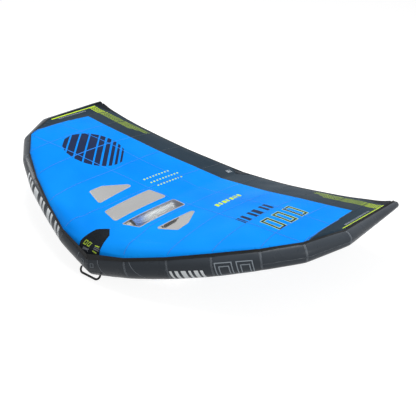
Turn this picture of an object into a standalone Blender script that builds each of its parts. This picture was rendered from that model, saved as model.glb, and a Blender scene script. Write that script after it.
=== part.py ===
"""Hand-held inflatable wing: an air-filled leading edge, a centre strut and a fabric canopy.

X runs along the span, Y from the nose to the trailing edge and Z up, in metres. The wing is
laid out from the joint between canopy and leading edge at the nose, and the whole of it is
then stood on its nose and its strut's end, with the origin under the middle of its box.
"""

import math

import bmesh
import bpy
from mathutils import Vector
from mathutils.geometry import delaunay_2d_cdt

# Plan and height of the wing, from the joint line at the nose
half_span = 1.56
chord_length = 2.0085
tail_drop = 0.1226
edge_rise = 0.3315
side_camber = 0.108
side_camber_powers = (0.45, 0.75)
side_camber_fade_powers = (4, 1.5)
centre_camber = 0.062
centre_camber_powers = (0.3, 2.2)
centre_camber_width = 0.24

# Leading edge joint line: seams between its panels, from the nose to the tip
front_x_shares = (0.0, 0.1968, 0.3808, 0.5628, 0.741, 0.8788, 0.9667, 1.0)
front_y_shares = (0.0, 0.0314, 0.0945, 0.1638, 0.2523, 0.3549, 0.5173, 0.8793)
front_z_shares = (0.0, 0.2456, 0.4437, 0.6802, 0.8742, 1.0, 0.9801, 0.7478)

# Trailing edge: places along the half span, back along the chord, and up from tail to tip
rear_x_shares = (0.0, 0.1795, 0.3846, 0.641, 0.7692, 0.8654, 0.9295, 1.0)
rear_y_shares = (1.0, 0.9801, 0.9304, 0.886, 0.8766, 0.8731, 0.8758, 0.8793)
rear_z_shares = (0.0, 0.1053, 0.3366, 0.6237, 0.7438, 0.8443, 0.8977, 1.0)

# Leading edge tube: its radius at each seam, and how far round the tube the canopy joins it
nose_radius = 0.135
tube_radius_shares = (1.0, 1.0, 0.852, 0.719, 0.593, 0.563, 0.415, 0.2)
joint_degrees = (155.0, 149.0, 134.0, 117.0, 103.0, 94.0, 68.0, 56.0)
tube_sides = 24
panel_steps = 2
tip_cap_turn = 80.0
tip_cap_steps = 3

# Cloth, film and the gaps between sewn pieces
casing_wall = 0.0015
bladder_wall = 0.001
bladder_gap = 0.0025
bladder_sides = 10
cloth = 0.0015
film = 0.001
seam_gap = 0.0003
joint_gap = 0.0032
cover_gap = 0.012
cover_ease = 0.04
binding_width = 0.012
binding_height = 0.0015
binding_seat = 0.0008
binding_steps = 3
binding_gap = 0.0012
hem_width = 0.012
hem_height = 0.003

# Canopy panels
band_width = 0.335
tip_panel_share = 0.891
inner_panel_count = 2
outer_panel_count = 4
column_step = 0.13
row_count = 14
row_power = 1.5
row_clearance_share = 0.17
point_clearance_share = 0.1
meeting_tolerance = 1e-6
nose_patch_front = 0.105
nose_patch_rear = 0.066
nose_patch_shoulder = 0.18
nose_patch_length = 0.25
patch_step = 0.04
tail_patch_half = 0.117
tail_patch_length = 0.12

# Windows: corners as shares of the half span and of the centre chord
inner_window_shares = ((0.0224, 0.1717), (0.1135, 0.1917), (0.1205, 0.4535), (0.0256, 0.471))
outer_window_shares = ((0.1878, 0.2212), (0.2897, 0.2478), (0.2846, 0.3115), (0.2051, 0.4368))
window_corner_radius = 0.016
window_corner_steps = 3

# Strut under the centre seam
strut_radius = 0.1
strut_waist_radius = 0.068
strut_sides = 20
strut_seat = 0.0006
saddle_gap = 0.0015
neck_end = 0.43
collar_end = 0.46
waist_end = 1.27
strut_end = 1.9
cap_depth = 0.03
cap_turn = 78.0
cap_steps = 3
saddle_least_share = 0.25
saddle_tries = 12
halvings = 40

# Handles under the strut, and the strap on the nose
front_handle_start = 0.5
rear_handle_start = 0.84
handle_length = 0.22
handle_drop = 0.05
handle_corner = 0.03
handle_corner_steps = 4
strap_radius = 0.0065
strap_sides = 10
strap_end_turns = (80.0, 50.0, 25.0)
grip_radius = 0.015
grip_sides = 16
grip_edge_share = 0.4
grip_length = 0.14
hinge_gap = 0.0005
patch_margin = 0.03
patch_wall = 0.002
patch_half_sides = 2
nose_strap_half = 0.085
nose_strap_drop = 0.042
nose_strap_corner = 0.032
nose_strap_angle = 38.0
nose_strap_lean = 50.0

# Valves, leash loop and zip
valve_x = 0.2
valve_angle = 32.0
strut_valve_y = 1.12
strut_valve_angle = 25.0
valve_neck_radius = 0.0145
valve_bore_radius = 0.0105
valve_flange_radius = 0.024
valve_collar_radius = 0.018
valve_flange_height = 0.004
valve_collar_height = 0.01
valve_depth = 0.012
valve_clearance = 0.0006
valve_seat = 0.0012
cap_radius = 0.02
cap_height = 0.008
cap_plug = 0.007
cap_edge = 0.0015
cap_rib_depth = 0.0012
valve_sides = 20
loop_y = 0.37
loop_length = 0.05
loop_drop = 0.03
loop_width = 0.025
loop_wall = 0.003
zip_start = 1.38
zip_length = 0.17
zip_half = 0.009
zip_tape = 0.0012
zip_teeth_half = 0.0025
zip_teeth_height = 0.0022
slider_length = 0.016
slider_wall = 0.002
slider_travel_margin = 0.004


def clear_scene():
    for item in list(bpy.data.objects):
        bpy.data.objects.remove(item, do_unlink=True)


def make_material(name, colour, roughness, metallic=0.0):
    material = bpy.data.materials.new(name)
    material.use_nodes = True
    shader = material.node_tree.nodes["Principled BSDF"]
    shader.inputs["Base Color"].default_value = (*colour, 1.0)
    shader.inputs["Roughness"].default_value = roughness
    shader.inputs["Metallic"].default_value = metallic
    return material


def make_object(name, mesh, material, frame):
    item = bpy.data.objects.new(name, mesh)
    bpy.context.scene.collection.objects.link(item)
    item.data.materials.append(material)
    item.parent = frame
    return item


def make_empty(name, place, parent=None):
    empty = bpy.data.objects.new(name, None)
    bpy.context.scene.collection.objects.link(empty)
    empty.location = place
    empty.parent = parent
    return empty


def finish_mesh(mesh_maker, name, smooth_degrees=35.0):
    mesh = bpy.data.meshes.new(name)
    mesh_maker.to_mesh(mesh)
    mesh_maker.free()
    mesh.shade_smooth()
    mesh.set_sharp_from_angle(angle=math.radians(smooth_degrees))
    return mesh


def middle_of(ring):
    return sum(ring, Vector((0.0, 0.0, 0.0))) / len(ring)


def add_loft(maker, rings, wrap=False, inward=False):
    """Skin a row of equal rings; wrap joins the last to the first, or else both ends are capped.

    Every flat is split the same way out and back, so that a wall keeps its thickness.
    """
    loops = []
    for ring in rings:
        loops.append([maker.verts.new(point) for point in ring])
    sides = len(loops[0])
    faces = []
    pair_count = len(loops) if wrap else len(loops) - 1
    outward = middle_of(rings[1]) - middle_of(rings[0])
    for index in range(pair_count):
        following = (index + 1) % len(loops)
        near = loops[index]
        far = loops[following]
        returning = (middle_of(rings[following]) - middle_of(rings[index])).dot(outward) < 0.0
        for side in range(sides):
            turn = (side + 1) % sides
            if returning:
                faces.append(maker.faces.new((near[side], near[turn], far[side])))
                faces.append(maker.faces.new((near[turn], far[turn], far[side])))
            else:
                faces.append(maker.faces.new((near[side], near[turn], far[turn])))
                faces.append(maker.faces.new((near[side], far[turn], far[side])))
    if not wrap:
        faces.append(maker.faces.new(list(reversed(loops[0]))))
        faces.append(maker.faces.new(loops[-1]))
    bmesh.ops.recalc_face_normals(maker, faces=faces)
    if inward:
        bmesh.ops.reverse_faces(maker, faces=faces)


def loft(name, rings, wrap=False):
    maker = bmesh.new()
    add_loft(maker, rings, wrap)
    return finish_mesh(maker, name)


def circle(centre, across, up, radius, sides):
    points = []
    for index in range(sides):
        angle = math.tau * index / sides
        points.append(centre + radius * (math.cos(angle) * across + math.sin(angle) * up))
    return points


def mirrored(points, side):
    return [Vector((side * point.x, point.y, point.z)) for point in points]


def stretched(first, last, steps):
    """Rings from the first to the last, both included."""
    rings = []
    for step in range(steps + 1):
        rings.append([near.lerp(far, step / steps) for near, far in zip(first, last)])
    return rings


def side_name(side):
    return "right" if side > 0 else "left"


def along(stations, values, place):
    for index in range(len(stations) - 2):
        if place <= stations[index + 1]:
            break
    else:
        index = len(stations) - 2
    share = (place - stations[index]) / (stations[index + 1] - stations[index])
    share = min(max(share, 0.0), 1.0)
    return values[index] + (values[index + 1] - values[index]) * share


# The two edges of the canopy
tip_height = edge_rise * front_z_shares[-1]
front_x = [share * half_span for share in front_x_shares]
front_y = [share * chord_length for share in front_y_shares]
front_z = [share * edge_rise for share in front_z_shares]
rear_x = [share * half_span for share in rear_x_shares]
rear_y = [share * chord_length for share in rear_y_shares]
rear_z = [share * (tail_drop + tip_height) - tail_drop for share in rear_z_shares]
row_shares = [(index / row_count) ** row_power for index in range(row_count + 1)]


# Axis, radius and directions of the leading edge tube at each seam
def tube_stations():
    joints = [Vector(values) for values in zip(front_x, front_y, front_z)]
    stations = []
    for index, joint in enumerate(joints):
        heading = Vector((1.0, 0.0, 0.0))
        if index > 0:
            heading = (joint - joints[index - 1]).normalized()
            if index < len(joints) - 1:
                heading += (joints[index + 1] - joint).normalized()
        heading.normalize()
        up = Vector((0.0, 0.0, 1.0))
        up = (up - heading * up.dot(heading)).normalized()
        out = heading.cross(up)
        if out.y > 0.0:
            out = -out
        radius = nose_radius * tube_radius_shares[index]
        angle = math.radians(joint_degrees[index])
        reach = radius + joint_gap
        centre = joint + reach * (math.cos(angle) * out - math.sin(angle) * up)
        stations.append((centre, radius, out, up, heading, joint))
    return stations


tube = tube_stations()


def front_line(x):
    return along(front_x, front_y, abs(x))


def rear_line(x):
    return along(rear_x, rear_y, abs(x))


def band_line(x):
    return rear_line(x) - band_width


def tube_top(x, y):
    """Height of the leading edge tube's upper side over a point, or far below where it is clear."""
    highest = -half_span
    for near, far in zip(tube, tube[1:]):
        run = far[0] - near[0]
        length = run.length
        heading = run / length
        ahead = Vector((x - near[0].x, y - near[0].y, 0.0))
        radius = near[1]
        for _ in range(3):
            flat = ahead.dot(heading)
            first = 1.0 - heading.z ** 2
            second = -2.0 * heading.z * flat
            third = ahead.length_squared - flat ** 2 - radius ** 2
            inner = second ** 2 - 4.0 * first * third
            if inner < 0.0:
                break
            rise = (math.sqrt(inner) - second) / (2.0 * first)
            share = (flat + rise * heading.z) / length
            radius = near[1] + (far[1] - near[1]) * min(max(share, 0.0), 1.0)
        if inner >= 0.0 and -0.1 < share < 1.1:
            highest = max(highest, near[0].z + rise)
    return highest


def arch(share, front_power, rear_power):
    """A curve that leaves both ends at zero and peaks at one."""
    peak = front_power / (front_power + rear_power)
    return (share / peak) ** front_power * ((1.0 - share) / (1.0 - peak)) ** rear_power


def canopy_height(x, y):
    """Height of the canopy: a straight line from edge to edge, and the camber on it."""
    x = abs(x)
    start = front_line(x)
    chord = max(rear_line(x) - start, seam_gap)
    share = min(max((y - start) / chord, 0.0), 1.0)
    straight = along(front_x, front_z, x) * (1.0 - share) + along(rear_x, rear_z, x) * share
    edge_power, whole_power = side_camber_fade_powers
    spread = (1.0 - min(x / half_span, 1.0) ** edge_power) ** whole_power
    near = math.exp(-((x / centre_camber_width) ** 2))
    camber = side_camber * spread * arch(share, *side_camber_powers)
    camber += centre_camber * near * arch(share, *centre_camber_powers)
    ease = min(max((y - start) / cover_ease, 0.0), 1.0)
    return max(straight + camber, tube_top(x, y) + cover_gap * ease)


def tube_ring(index, wall, shift, side, sides=tube_sides):
    centre, radius, out, up, heading, joint = tube[index]
    middle = centre + heading * shift
    return mirrored(circle(middle, out, up, radius - wall, sides), side)


def tube_skin(x, degrees):
    """Point at x and outward normal of the first panel's flat that lies in a direction."""
    near = tube_ring(0, 0.0, 0.0, 1)
    far = tube_ring(1, 0.0, 0.0, 1)
    flat = math.floor(degrees / 360.0 * tube_sides) % tube_sides
    turn = (flat + 1) % tube_sides
    near_middle = (near[flat] + near[turn]) / 2
    far_middle = (far[flat] + far[turn]) / 2
    share = (x - near_middle.x) / (far_middle.x - near_middle.x)
    point = near_middle.lerp(far_middle, share)
    edge = (near[turn] - near[flat]).lerp(far[turn] - far[flat], share)
    normal = edge.cross(far_middle - near_middle).normalized()
    if normal.dot(point - tube[0][0].lerp(tube[1][0], share)) < 0.0:
        normal = -normal
    return point, normal


def casing_panel(index, side, material, frame):
    half_gap = seam_gap / 2
    rings = []
    for wall in (0.0, casing_wall):
        near = tube_ring(index, wall, half_gap, side)
        far = tube_ring(index + 1, wall, -half_gap, side)
        skin = stretched(near, far, panel_steps)
        rings += reversed(skin) if wall else skin
    name = f"le_panel_{side_name(side)}_{index + 1}"
    return make_object(name, loft(name, rings, wrap=True), material, frame)


def tip_cap(side, material, frame):
    """A sewn cup that closes the tube at the wing tip."""
    centre, radius, out, up, heading, joint = tube[-1]
    outer = []
    inner = []
    for step in range(tip_cap_steps + 1):
        turn = math.radians(tip_cap_turn) * step / tip_cap_steps
        for wall, rings in ((0.0, outer), (casing_wall, inner)):
            size = radius - wall
            middle = centre + heading * (seam_gap / 2 + size * math.sin(turn))
            points = circle(middle, out, up, size * math.cos(turn), tube_sides)
            rings.append(mirrored(points, side))
    name = f"le_tip_cap_{side_name(side)}"
    mesh = loft(name, list(reversed(outer)) + inner)
    return make_object(name, mesh, material, frame)


def between(near, far, share):
    """Axis, radius and directions of the tube part of the way from one seam to the next."""
    centre = near[0].lerp(far[0], share)
    radius = near[1] + (far[1] - near[1]) * share
    out = (near[2] * near[1]).lerp(far[2] * far[1], share) / radius
    up = (near[3] * near[1]).lerp(far[3] * far[1], share) / radius
    return centre, radius, out, up, near[4].lerp(far[4], share), near[5].lerp(far[5], share)


def binding(side, material, frame):
    """The tape sewn over the joint, lying on the tube just in front of the canopy's edge."""
    stations = []
    for near, far in zip(tube, tube[1:]):
        stations += [between(near, far, step / binding_steps) for step in range(binding_steps)]
    stations.append(tube[-1])
    stations[0] = between(tube[0], tube[1], seam_gap / front_x[1])
    rings = []
    for centre, radius, out, up, heading, joint in stations:
        low = radius + binding_seat
        high = low + binding_height
        near = binding_gap / radius
        far = near + binding_width / radius
        spoke = joint - centre
        start = math.atan2(spoke.dot(up), spoke.dot(out))
        points = []
        middle = (near + far) / 2
        for reach, turn in ((low, near), (high, near), (high, middle), (high, far), (low, far), (low, middle)):
            spot = start - turn
            points.append(centre + reach * (math.cos(spot) * out + math.sin(spot) * up))
        rings.append(mirrored(points, side))
    name = f"canopy_binding_{side_name(side)}"
    return make_object(name, loft(name, rings), material, frame)


def shell_with_rings(name, outer, inner):
    maker = bmesh.new()
    add_loft(maker, outer)
    add_loft(maker, inner, inward=True)
    return finish_mesh(maker, name)


def edge_bladder(material, frame):
    """The long airtight tube inside the casing, closed at both tips."""
    wall = casing_wall + bladder_gap
    outer = []
    inner = []
    for depth, rings in ((wall, outer), (wall + bladder_wall, inner)):
        last = len(tube) - 1
        for index in range(last, 0, -1):
            shift = -depth if index == last else 0.0
            rings.append(tube_ring(index, depth, shift, -1, bladder_sides))
        rings.append(tube_ring(0, depth, 0.0, 1, bladder_sides))
        for index in range(1, last + 1):
            shift = -depth if index == last else 0.0
            rings.append(tube_ring(index, depth, shift, 1, bladder_sides))
    name = "le_bladder"
    return make_object(name, shell_with_rings(name, outer, inner), material, frame)


# Outlines of the canopy panels, seen from above and running anticlockwise
def line_run(start, end, step=column_step):
    """Points from start towards end, without the end, at about the given step."""
    length = math.dist(start, end)
    count = max(1, round(length / step))
    points = []
    for index in range(count):
        share = index / count
        points.append((start[0] + (end[0] - start[0]) * share, start[1] + (end[1] - start[1]) * share))
    return points


def station_run(start, end, stations, line):
    """Points along an edge from x start to x end, turning at its stations."""
    low = min(start, end)
    high = max(start, end)
    places = [low] + [x for x in stations if low < x < high] + [high]
    if start > end:
        places.reverse()
    points = []
    for near, far in zip(places, places[1:]):
        points += line_run((near, line(near)), (far, line(far)))
    return points


def row_run(x, start, end):
    """Points on a chordwise line, at the canopy's rows, without the end."""
    low = min(start, end)
    high = max(start, end)
    chord = rear_line(x) - front_line(x)
    rows = [front_line(x) + share * chord for share in row_shares]
    least = column_step * row_clearance_share
    places = [low] + [y for y in rows if low + least < y < high - least] + [high]
    if start > end:
        places.reverse()
    return [(x, y) for y in places[:-1]]


def inset(loop, distance):
    """Move each side of an anticlockwise loop inwards by a small distance."""
    points = []
    count = len(loop)
    for index in range(count):
        before = Vector(loop[index - 1])
        here = Vector(loop[index])
        after = Vector(loop[(index + 1) % count])
        first = (here - before).normalized()
        second = (after - here).normalized()
        normal_one = Vector((-first.y, first.x))
        normal_two = Vector((-second.y, second.x))
        middle = (normal_one + normal_two).normalized()
        point = here + middle * distance / max(middle.dot(normal_one), 0.3)
        points.append((point.x, point.y))
    return points


def mirror_loop(loop, side):
    if side > 0:
        return loop
    return [(-x, y) for x, y in reversed(loop)]


def inside(point, loop):
    """Whether a point lies inside a loop, by counting the sides that a ray crosses."""
    crossed = False
    x, y = point
    for index in range(len(loop)):
        ax, ay = loop[index - 1]
        bx, by = loop[index]
        if (ay > y) != (by > y) and x < (bx - ax) * (y - ay) / (by - ay) + ax:
            crossed = not crossed
    return crossed


def distance_to_loop(point, loop):
    spot = Vector(point)
    least = math.inf
    for index in range(len(loop)):
        start = Vector(loop[index - 1])
        run = Vector(loop[index]) - start
        share = min(max((spot - start).dot(run) / run.length_squared, 0.0), 1.0)
        least = min(least, (spot - start - run * share).length)
    return least


def grid_points(outline, holes):
    """Points of the canopy's own grid that fall well inside an outline."""
    points = []
    columns = math.ceil(half_span / column_step)
    keep_off = column_step * point_clearance_share
    for column in range(-columns, columns + 1):
        x = column * column_step
        if abs(x) >= half_span:
            continue
        chord = rear_line(x) - front_line(x)
        for share in row_shares[1:-1]:
            point = (x, front_line(x) + share * chord)
            if not inside(point, outline) or distance_to_loop(point, outline) < keep_off:
                continue
            if any(inside(point, hole) or distance_to_loop(point, hole) < keep_off for hole in holes):
                continue
            points.append(point)
    return points


def grid_place(point):
    """Column and row of a point, so that the canopy is meshed along its rows."""
    x, y = point
    chord = max(rear_line(x) - front_line(x), seam_gap)
    share = min(max((y - front_line(x)) / chord, 0.0), 1.0)
    return Vector((x / column_step, row_count * share ** (1.0 / row_power)))


def sheet(name, outline, material, frame, holes=(), thickness=cloth):
    """A thin sheet on the canopy's surface, filling an outline seen from above."""
    loops = [outline] + list(holes)
    points = []
    edges = []
    for loop in loops:
        start = len(points)
        points += loop
        edges += [(start + index, start + (index + 1) % len(loop)) for index in range(len(loop))]
    points += grid_points(outline, holes)
    spots = [grid_place(point) for point in points]
    flat, _, triangles, sources, _, _ = delaunay_2d_cdt(spots, edges, [], 1, meeting_tolerance)
    maker = bmesh.new()
    top = []
    bottom = []
    for source in sources:
        x, y = points[source[0]]
        height = canopy_height(x, y)
        top.append(maker.verts.new((x, y, height)))
        bottom.append(maker.verts.new((x, y, height - thickness)))
    sides = {}
    for triangle in triangles:
        middle = sum((flat[index] for index in triangle), Vector((0.0, 0.0))) / 3
        if any(inside(middle, [grid_place(point) for point in hole]) for hole in holes):
            continue
        maker.faces.new([top[index] for index in triangle])
        maker.faces.new([bottom[index] for index in reversed(triangle)])
        for index in range(3):
            pair = (triangle[index], triangle[(index + 1) % 3])
            back = (pair[1], pair[0])
            if back in sides:
                del sides[back]
            else:
                sides[pair] = True
    for first, second in sides:
        maker.faces.new((top[second], top[first], bottom[first], bottom[second]))
    loose = [vert for vert in maker.verts if not vert.link_faces]
    bmesh.ops.delete(maker, geom=loose, context="VERTS")
    bmesh.ops.recalc_face_normals(maker, faces=maker.faces)
    return make_object(name, finish_mesh(maker, name, 50.0), material, frame)


def rounded_window(corner_shares):
    """A four-cornered window outline with rounded corners."""
    corners = [Vector((x * half_span, y * chord_length)) for x, y in corner_shares]
    points = []
    for index, corner in enumerate(corners):
        before = (corners[index - 1] - corner).normalized()
        after = (corners[(index + 1) % len(corners)] - corner).normalized()
        half = before.angle(after) / 2
        reach = window_corner_radius / math.tan(half)
        centre = corner + (before + after).normalized() * window_corner_radius / math.sin(half)
        start = corner + before * reach - centre
        end = corner + after * reach - centre
        for step in range(window_corner_steps + 1):
            share = step / window_corner_steps
            spoke = start.lerp(end, share).normalized() * window_corner_radius
            points.append((centre.x + spoke.x, centre.y + spoke.y))
    return points


def panel_outline(name):
    """The outline of one panel on the right half, before its seam gap."""
    inner_x = front_x[inner_panel_count]
    outer_x = front_x[outer_panel_count]
    tip_x = tip_panel_share * half_span
    patch_front = (nose_patch_front, front_line(nose_patch_front))
    patch_rear = (nose_patch_rear, nose_patch_shoulder)
    patch_end = (0.0, nose_patch_length)
    tail_front = (0.0, rear_line(0.0) - tail_patch_length)
    tail_side = (tail_patch_half, rear_line(tail_patch_half))
    if name == "inner":
        loop = station_run(nose_patch_front, inner_x, front_x, front_line)
        loop += row_run(inner_x, front_line(inner_x), band_line(inner_x))
        loop += station_run(inner_x, 0.0, rear_x, band_line)
        loop += row_run(0.0, band_line(0.0), nose_patch_length)
        loop += line_run(patch_end, patch_rear)
        loop += line_run(patch_rear, patch_front, patch_step)
    elif name == "middle":
        loop = station_run(inner_x, outer_x, front_x, front_line)
        loop += row_run(outer_x, front_line(outer_x), band_line(outer_x))
        loop += station_run(outer_x, inner_x, rear_x, band_line)
        loop += row_run(inner_x, band_line(inner_x), front_line(inner_x))
    elif name == "outer":
        loop = station_run(outer_x, tip_x, front_x, front_line)
        loop += row_run(tip_x, front_line(tip_x), band_line(tip_x))
        loop += station_run(tip_x, outer_x, rear_x, band_line)
        loop += row_run(outer_x, band_line(outer_x), front_line(outer_x))
    elif name == "band":
        loop = station_run(0.0, tip_x, rear_x, band_line)
        loop += row_run(tip_x, band_line(tip_x), rear_line(tip_x))
        loop += station_run(tip_x, tail_patch_half, rear_x, rear_line)
        loop += line_run(tail_side, tail_front)
        loop += row_run(0.0, tail_front[1], band_line(0.0))
    else:
        loop = station_run(tip_x, half_span, front_x, front_line)
        loop += station_run(half_span, tip_x, rear_x, rear_line)
        loop += row_run(tip_x, rear_line(tip_x), front_line(tip_x))
    return loop


def canopy_half(side, colours, frame):
    half_gap = seam_gap / 2
    windows = [rounded_window(inner_window_shares), rounded_window(outer_window_shares)]
    holes = [mirror_loop(inset(window, -half_gap), side) for window in windows]
    for part, colour in (("inner", "blue"), ("middle", "blue"), ("outer", "blue"),
                         ("band", "dark"), ("tip", "dark")):
        outline = mirror_loop(inset(panel_outline(part), half_gap), side)
        cut = holes if part == "inner" else []
        name = f"canopy_{part}_{side_name(side)}"
        sheet(name, outline, colours[colour], frame, cut)
    for place, window in zip(("inner", "outer"), windows):
        outline = mirror_loop(inset(window, half_gap), side)
        name = f"window_{place}_{side_name(side)}"
        sheet(name, outline, colours["film"], frame, thickness=film)


def nose_patch(material, frame):
    half = [(0.0, front_line(0.0))]
    half += station_run(0.0, nose_patch_front, front_x, front_line)[1:]
    half += line_run((nose_patch_front, front_line(nose_patch_front)),
                     (nose_patch_rear, nose_patch_shoulder), patch_step)
    half += line_run((nose_patch_rear, nose_patch_shoulder), (0.0, nose_patch_length))
    half.append((0.0, nose_patch_length))
    outline = half + [(-x, y) for x, y in reversed(half[1:-1])]
    return sheet("nose_patch", inset(outline, seam_gap / 2), material, frame)


def tail_patch(material, frame):
    front = (0.0, rear_line(0.0) - tail_patch_length)
    side = (tail_patch_half, rear_line(tail_patch_half))
    half = line_run(front, side)
    half += station_run(tail_patch_half, 0.0, rear_x, rear_line)
    half.append((0.0, rear_line(0.0)))
    outline = half + [(-x, y) for x, y in reversed(half[1:-1])]
    return sheet("tail_patch", inset(outline, seam_gap / 2), material, frame)


def hem(side, material, frame):
    """The folded tape along the trailing edge."""
    end_x = half_span - tube[-1][1]
    places = station_run(seam_gap, end_x, rear_x, rear_line)
    places.append((end_x, rear_line(end_x)))
    rings = []
    for x, y in places:
        top = canopy_height(x, y) + (hem_height - cloth) / 2
        near = y + seam_gap
        far = y + hem_width
        ring = [(near, top), (far, top), (far, top - hem_height), (near, top - hem_height)]
        rings.append(mirrored([Vector((x, back, height)) for back, height in ring], side))
    name = f"trailing_hem_{side_name(side)}"
    return make_object(name, loft(name, rings), material, frame)


# Strut: a round tube hung under the canopy's centre seam
def centre_rows():
    return [share * chord_length for share in row_shares]


def centre_top(y):
    """Underside of the canopy's centre seam, straight between its rows as the cloth is."""
    rows = centre_rows()
    heights = [canopy_height(0.0, row) for row in rows]
    return along(rows, heights, y) - cloth - strut_seat


ground = tube[0][0].z - nose_radius
strut_tail_radius = (centre_top(strut_end) - ground) / 2


def strut_size(y):
    if y <= waist_end:
        share = min(max((y - collar_end) / (waist_end - collar_end), 0.0), 1.0)
        radius = strut_radius + (strut_waist_radius - strut_radius) * share ** 2
    else:
        share = min((y - waist_end) / (strut_end - waist_end), 1.0)
        radius = strut_waist_radius + (strut_tail_radius - strut_waist_radius) * share
    return centre_top(y) - radius, radius


def strut_point(y, angle, extra=0.0):
    height, radius = strut_size(y)
    reach = radius + extra
    return Vector((reach * math.cos(angle), y, height + reach * math.sin(angle)))


def strut_ring(y, extra, sides=strut_sides):
    points = []
    for index in range(sides):
        points.append(strut_point(y, math.pi / 2 + math.tau * index / sides, extra))
    return points


def behind_tube(x, z, clearance):
    """How far back the leading edge tube reaches at a given x and height."""
    start = tube[0][0]
    run = (tube[1][0] - start).normalized()
    low = start.y
    high = start.y + nose_radius + neck_end
    for _ in range(halvings):
        middle = (low + high) / 2
        spot = Vector((abs(x), middle, z)) - start
        if (spot - run * spot.dot(run)).length > nose_radius + clearance:
            high = middle
        else:
            low = middle
    return high


def saddle_ring(extra, clearance):
    """The strut's front edge, cut to lie against the leading edge tube."""
    points = []
    foremost = neck_end * saddle_least_share
    for index in range(strut_sides):
        angle = math.pi / 2 + math.tau * index / strut_sides
        y = neck_end
        for _ in range(saddle_tries):
            spot = strut_point(max(y, foremost), angle, extra)
            y = behind_tube(spot.x, spot.z, clearance)
        spot = strut_point(max(y, foremost), angle, extra)
        points.append(Vector((spot.x, y, spot.z)))
    return points


def strut_stations(start, end):
    return [start] + [row for row in centre_rows() if start + seam_gap < row < end - seam_gap] + [end]


def strut_tube(name, stations, material, frame, front=None):
    """A sewn sleeve round the strut; front gives the rings of a shaped front edge."""
    outer = [strut_ring(y, 0.0) for y in stations]
    inner = [strut_ring(y, -casing_wall) for y in reversed(stations)]
    if front:
        outer.insert(0, front[0])
        inner.append(front[1])
    return make_object(name, loft(name, outer + inner, wrap=True), material, frame)


def strut_casings(colours, frame):
    gap = seam_gap / 2
    front = (saddle_ring(0.0, saddle_gap), saddle_ring(-casing_wall, saddle_gap))
    rearmost = max(point.y for point in front[0])
    neck_rows = strut_stations(rearmost + seam_gap, neck_end - gap)[1:]
    strut_tube("strut_neck", neck_rows, colours["beige"], frame, front)
    strut_tube("strut_collar", [neck_end + gap, collar_end - gap], colours["dark"], frame)
    strut_tube("strut_casing", strut_stations(collar_end + gap, waist_end - gap), colours["blue"], frame)
    strut_tube("strut_tail", strut_stations(waist_end + gap, strut_end - gap), colours["dark"], frame)


def strut_end_cap(material, frame):
    """The rounded end that the strut stands on."""
    outer = []
    inner = []
    for step in range(cap_steps + 1):
        turn = math.radians(cap_turn) * step / cap_steps
        for extra, rings in ((0.0, outer), (-casing_wall, inner)):
            ring = []
            y = strut_end + seam_gap / 2 + (cap_depth + extra) * math.sin(turn)
            for index in range(strut_sides):
                angle = math.pi / 2 + math.tau * index / strut_sides
                height, radius = strut_size(strut_end)
                reach = (radius + extra) * math.cos(turn)
                ring.append(Vector((reach * math.cos(angle), y, height + reach * math.sin(angle))))
            rings.append(ring)
    mesh = loft("strut_end_cap", list(reversed(outer)) + inner)
    return make_object("strut_end_cap", mesh, material, frame)


def strut_bladder(material, frame):
    start = neck_end - strut_radius
    stations = strut_stations(start, waist_end)
    stations += strut_stations(waist_end, strut_end - casing_wall)[1:]
    depth = casing_wall + bladder_gap
    outer = [strut_ring(y, -depth, bladder_sides) for y in stations]
    stations[0] += bladder_wall
    stations[-1] -= bladder_wall
    inner = [strut_ring(y, -depth - bladder_wall, bladder_sides) for y in stations]
    return make_object("strut_bladder", shell_with_rings("strut_bladder", outer, inner), material, frame)


# Handles
def rounded_path(start, end, drop, corner, down):
    """A U from start to end: down by drop, round the corners and straight across."""
    run = (end - start).normalized()
    points = [start.copy()]
    for corner_point, first, second in (
        (start + down * drop, -down, run),
        (end + down * drop, -run, -down),
    ):
        centre = corner_point + (first + second) * corner
        for step in range(handle_corner_steps + 1):
            turn = math.pi / 2 * step / handle_corner_steps
            points.append(centre - second * corner * math.cos(turn) - first * corner * math.sin(turn))
    points.append(end.copy())
    return points


def swept_strap(name, path, side_axis, radius, material, frame):
    """A round strap along a path, with ball ends that turn on the hinge line."""
    rings = []
    last = len(path) - 1
    sides = strap_sides
    for index, point in enumerate(path):
        before = path[max(index - 1, 0)]
        after = path[min(index + 1, last)]
        heading = (after - before).normalized()
        across = side_axis.normalized()
        up = heading.cross(across).normalized()
        if index == 0:
            for turn in strap_end_turns:
                angle = math.radians(turn)
                middle = point - heading * radius * math.sin(angle)
                rings.append(circle(middle, across, up, radius * math.cos(angle), sides))
        rings.append(circle(point, across, up, radius, sides))
        if index == last:
            for turn in reversed(strap_end_turns):
                angle = math.radians(turn)
                middle = point + heading * radius * math.sin(angle)
                rings.append(circle(middle, across, up, radius * math.cos(angle), sides))
    return make_object(name, loft(name, rings), material, frame)


def handle_line(start_y):
    """The two ends of a handle's hinge line, just under its patch on the strut."""
    reach = seam_gap + patch_wall + hinge_gap + strap_radius
    ends = []
    for y in (start_y, start_y + handle_length):
        height, radius = strut_size(y)
        ends.append(Vector((0.0, y, height - radius - reach)))
    return ends


def handle_patch(name, start_y, material, frame):
    """A stiff patch round the strut's underside that carries a handle."""
    stations = strut_stations(start_y - patch_margin, start_y + handle_length + patch_margin)
    steps = patch_half_sides * 2
    rings = []
    for y in stations:
        ring = []
        for extra, order in ((seam_gap, range(steps + 1)), (seam_gap + patch_wall, range(steps, -1, -1))):
            for step in order:
                angle = -math.pi / 2 + (step - patch_half_sides) * math.tau / strut_sides
                ring.append(strut_point(y, angle, extra))
        rings.append(ring)
    return make_object(name, loft(name, rings), material, frame)


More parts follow.
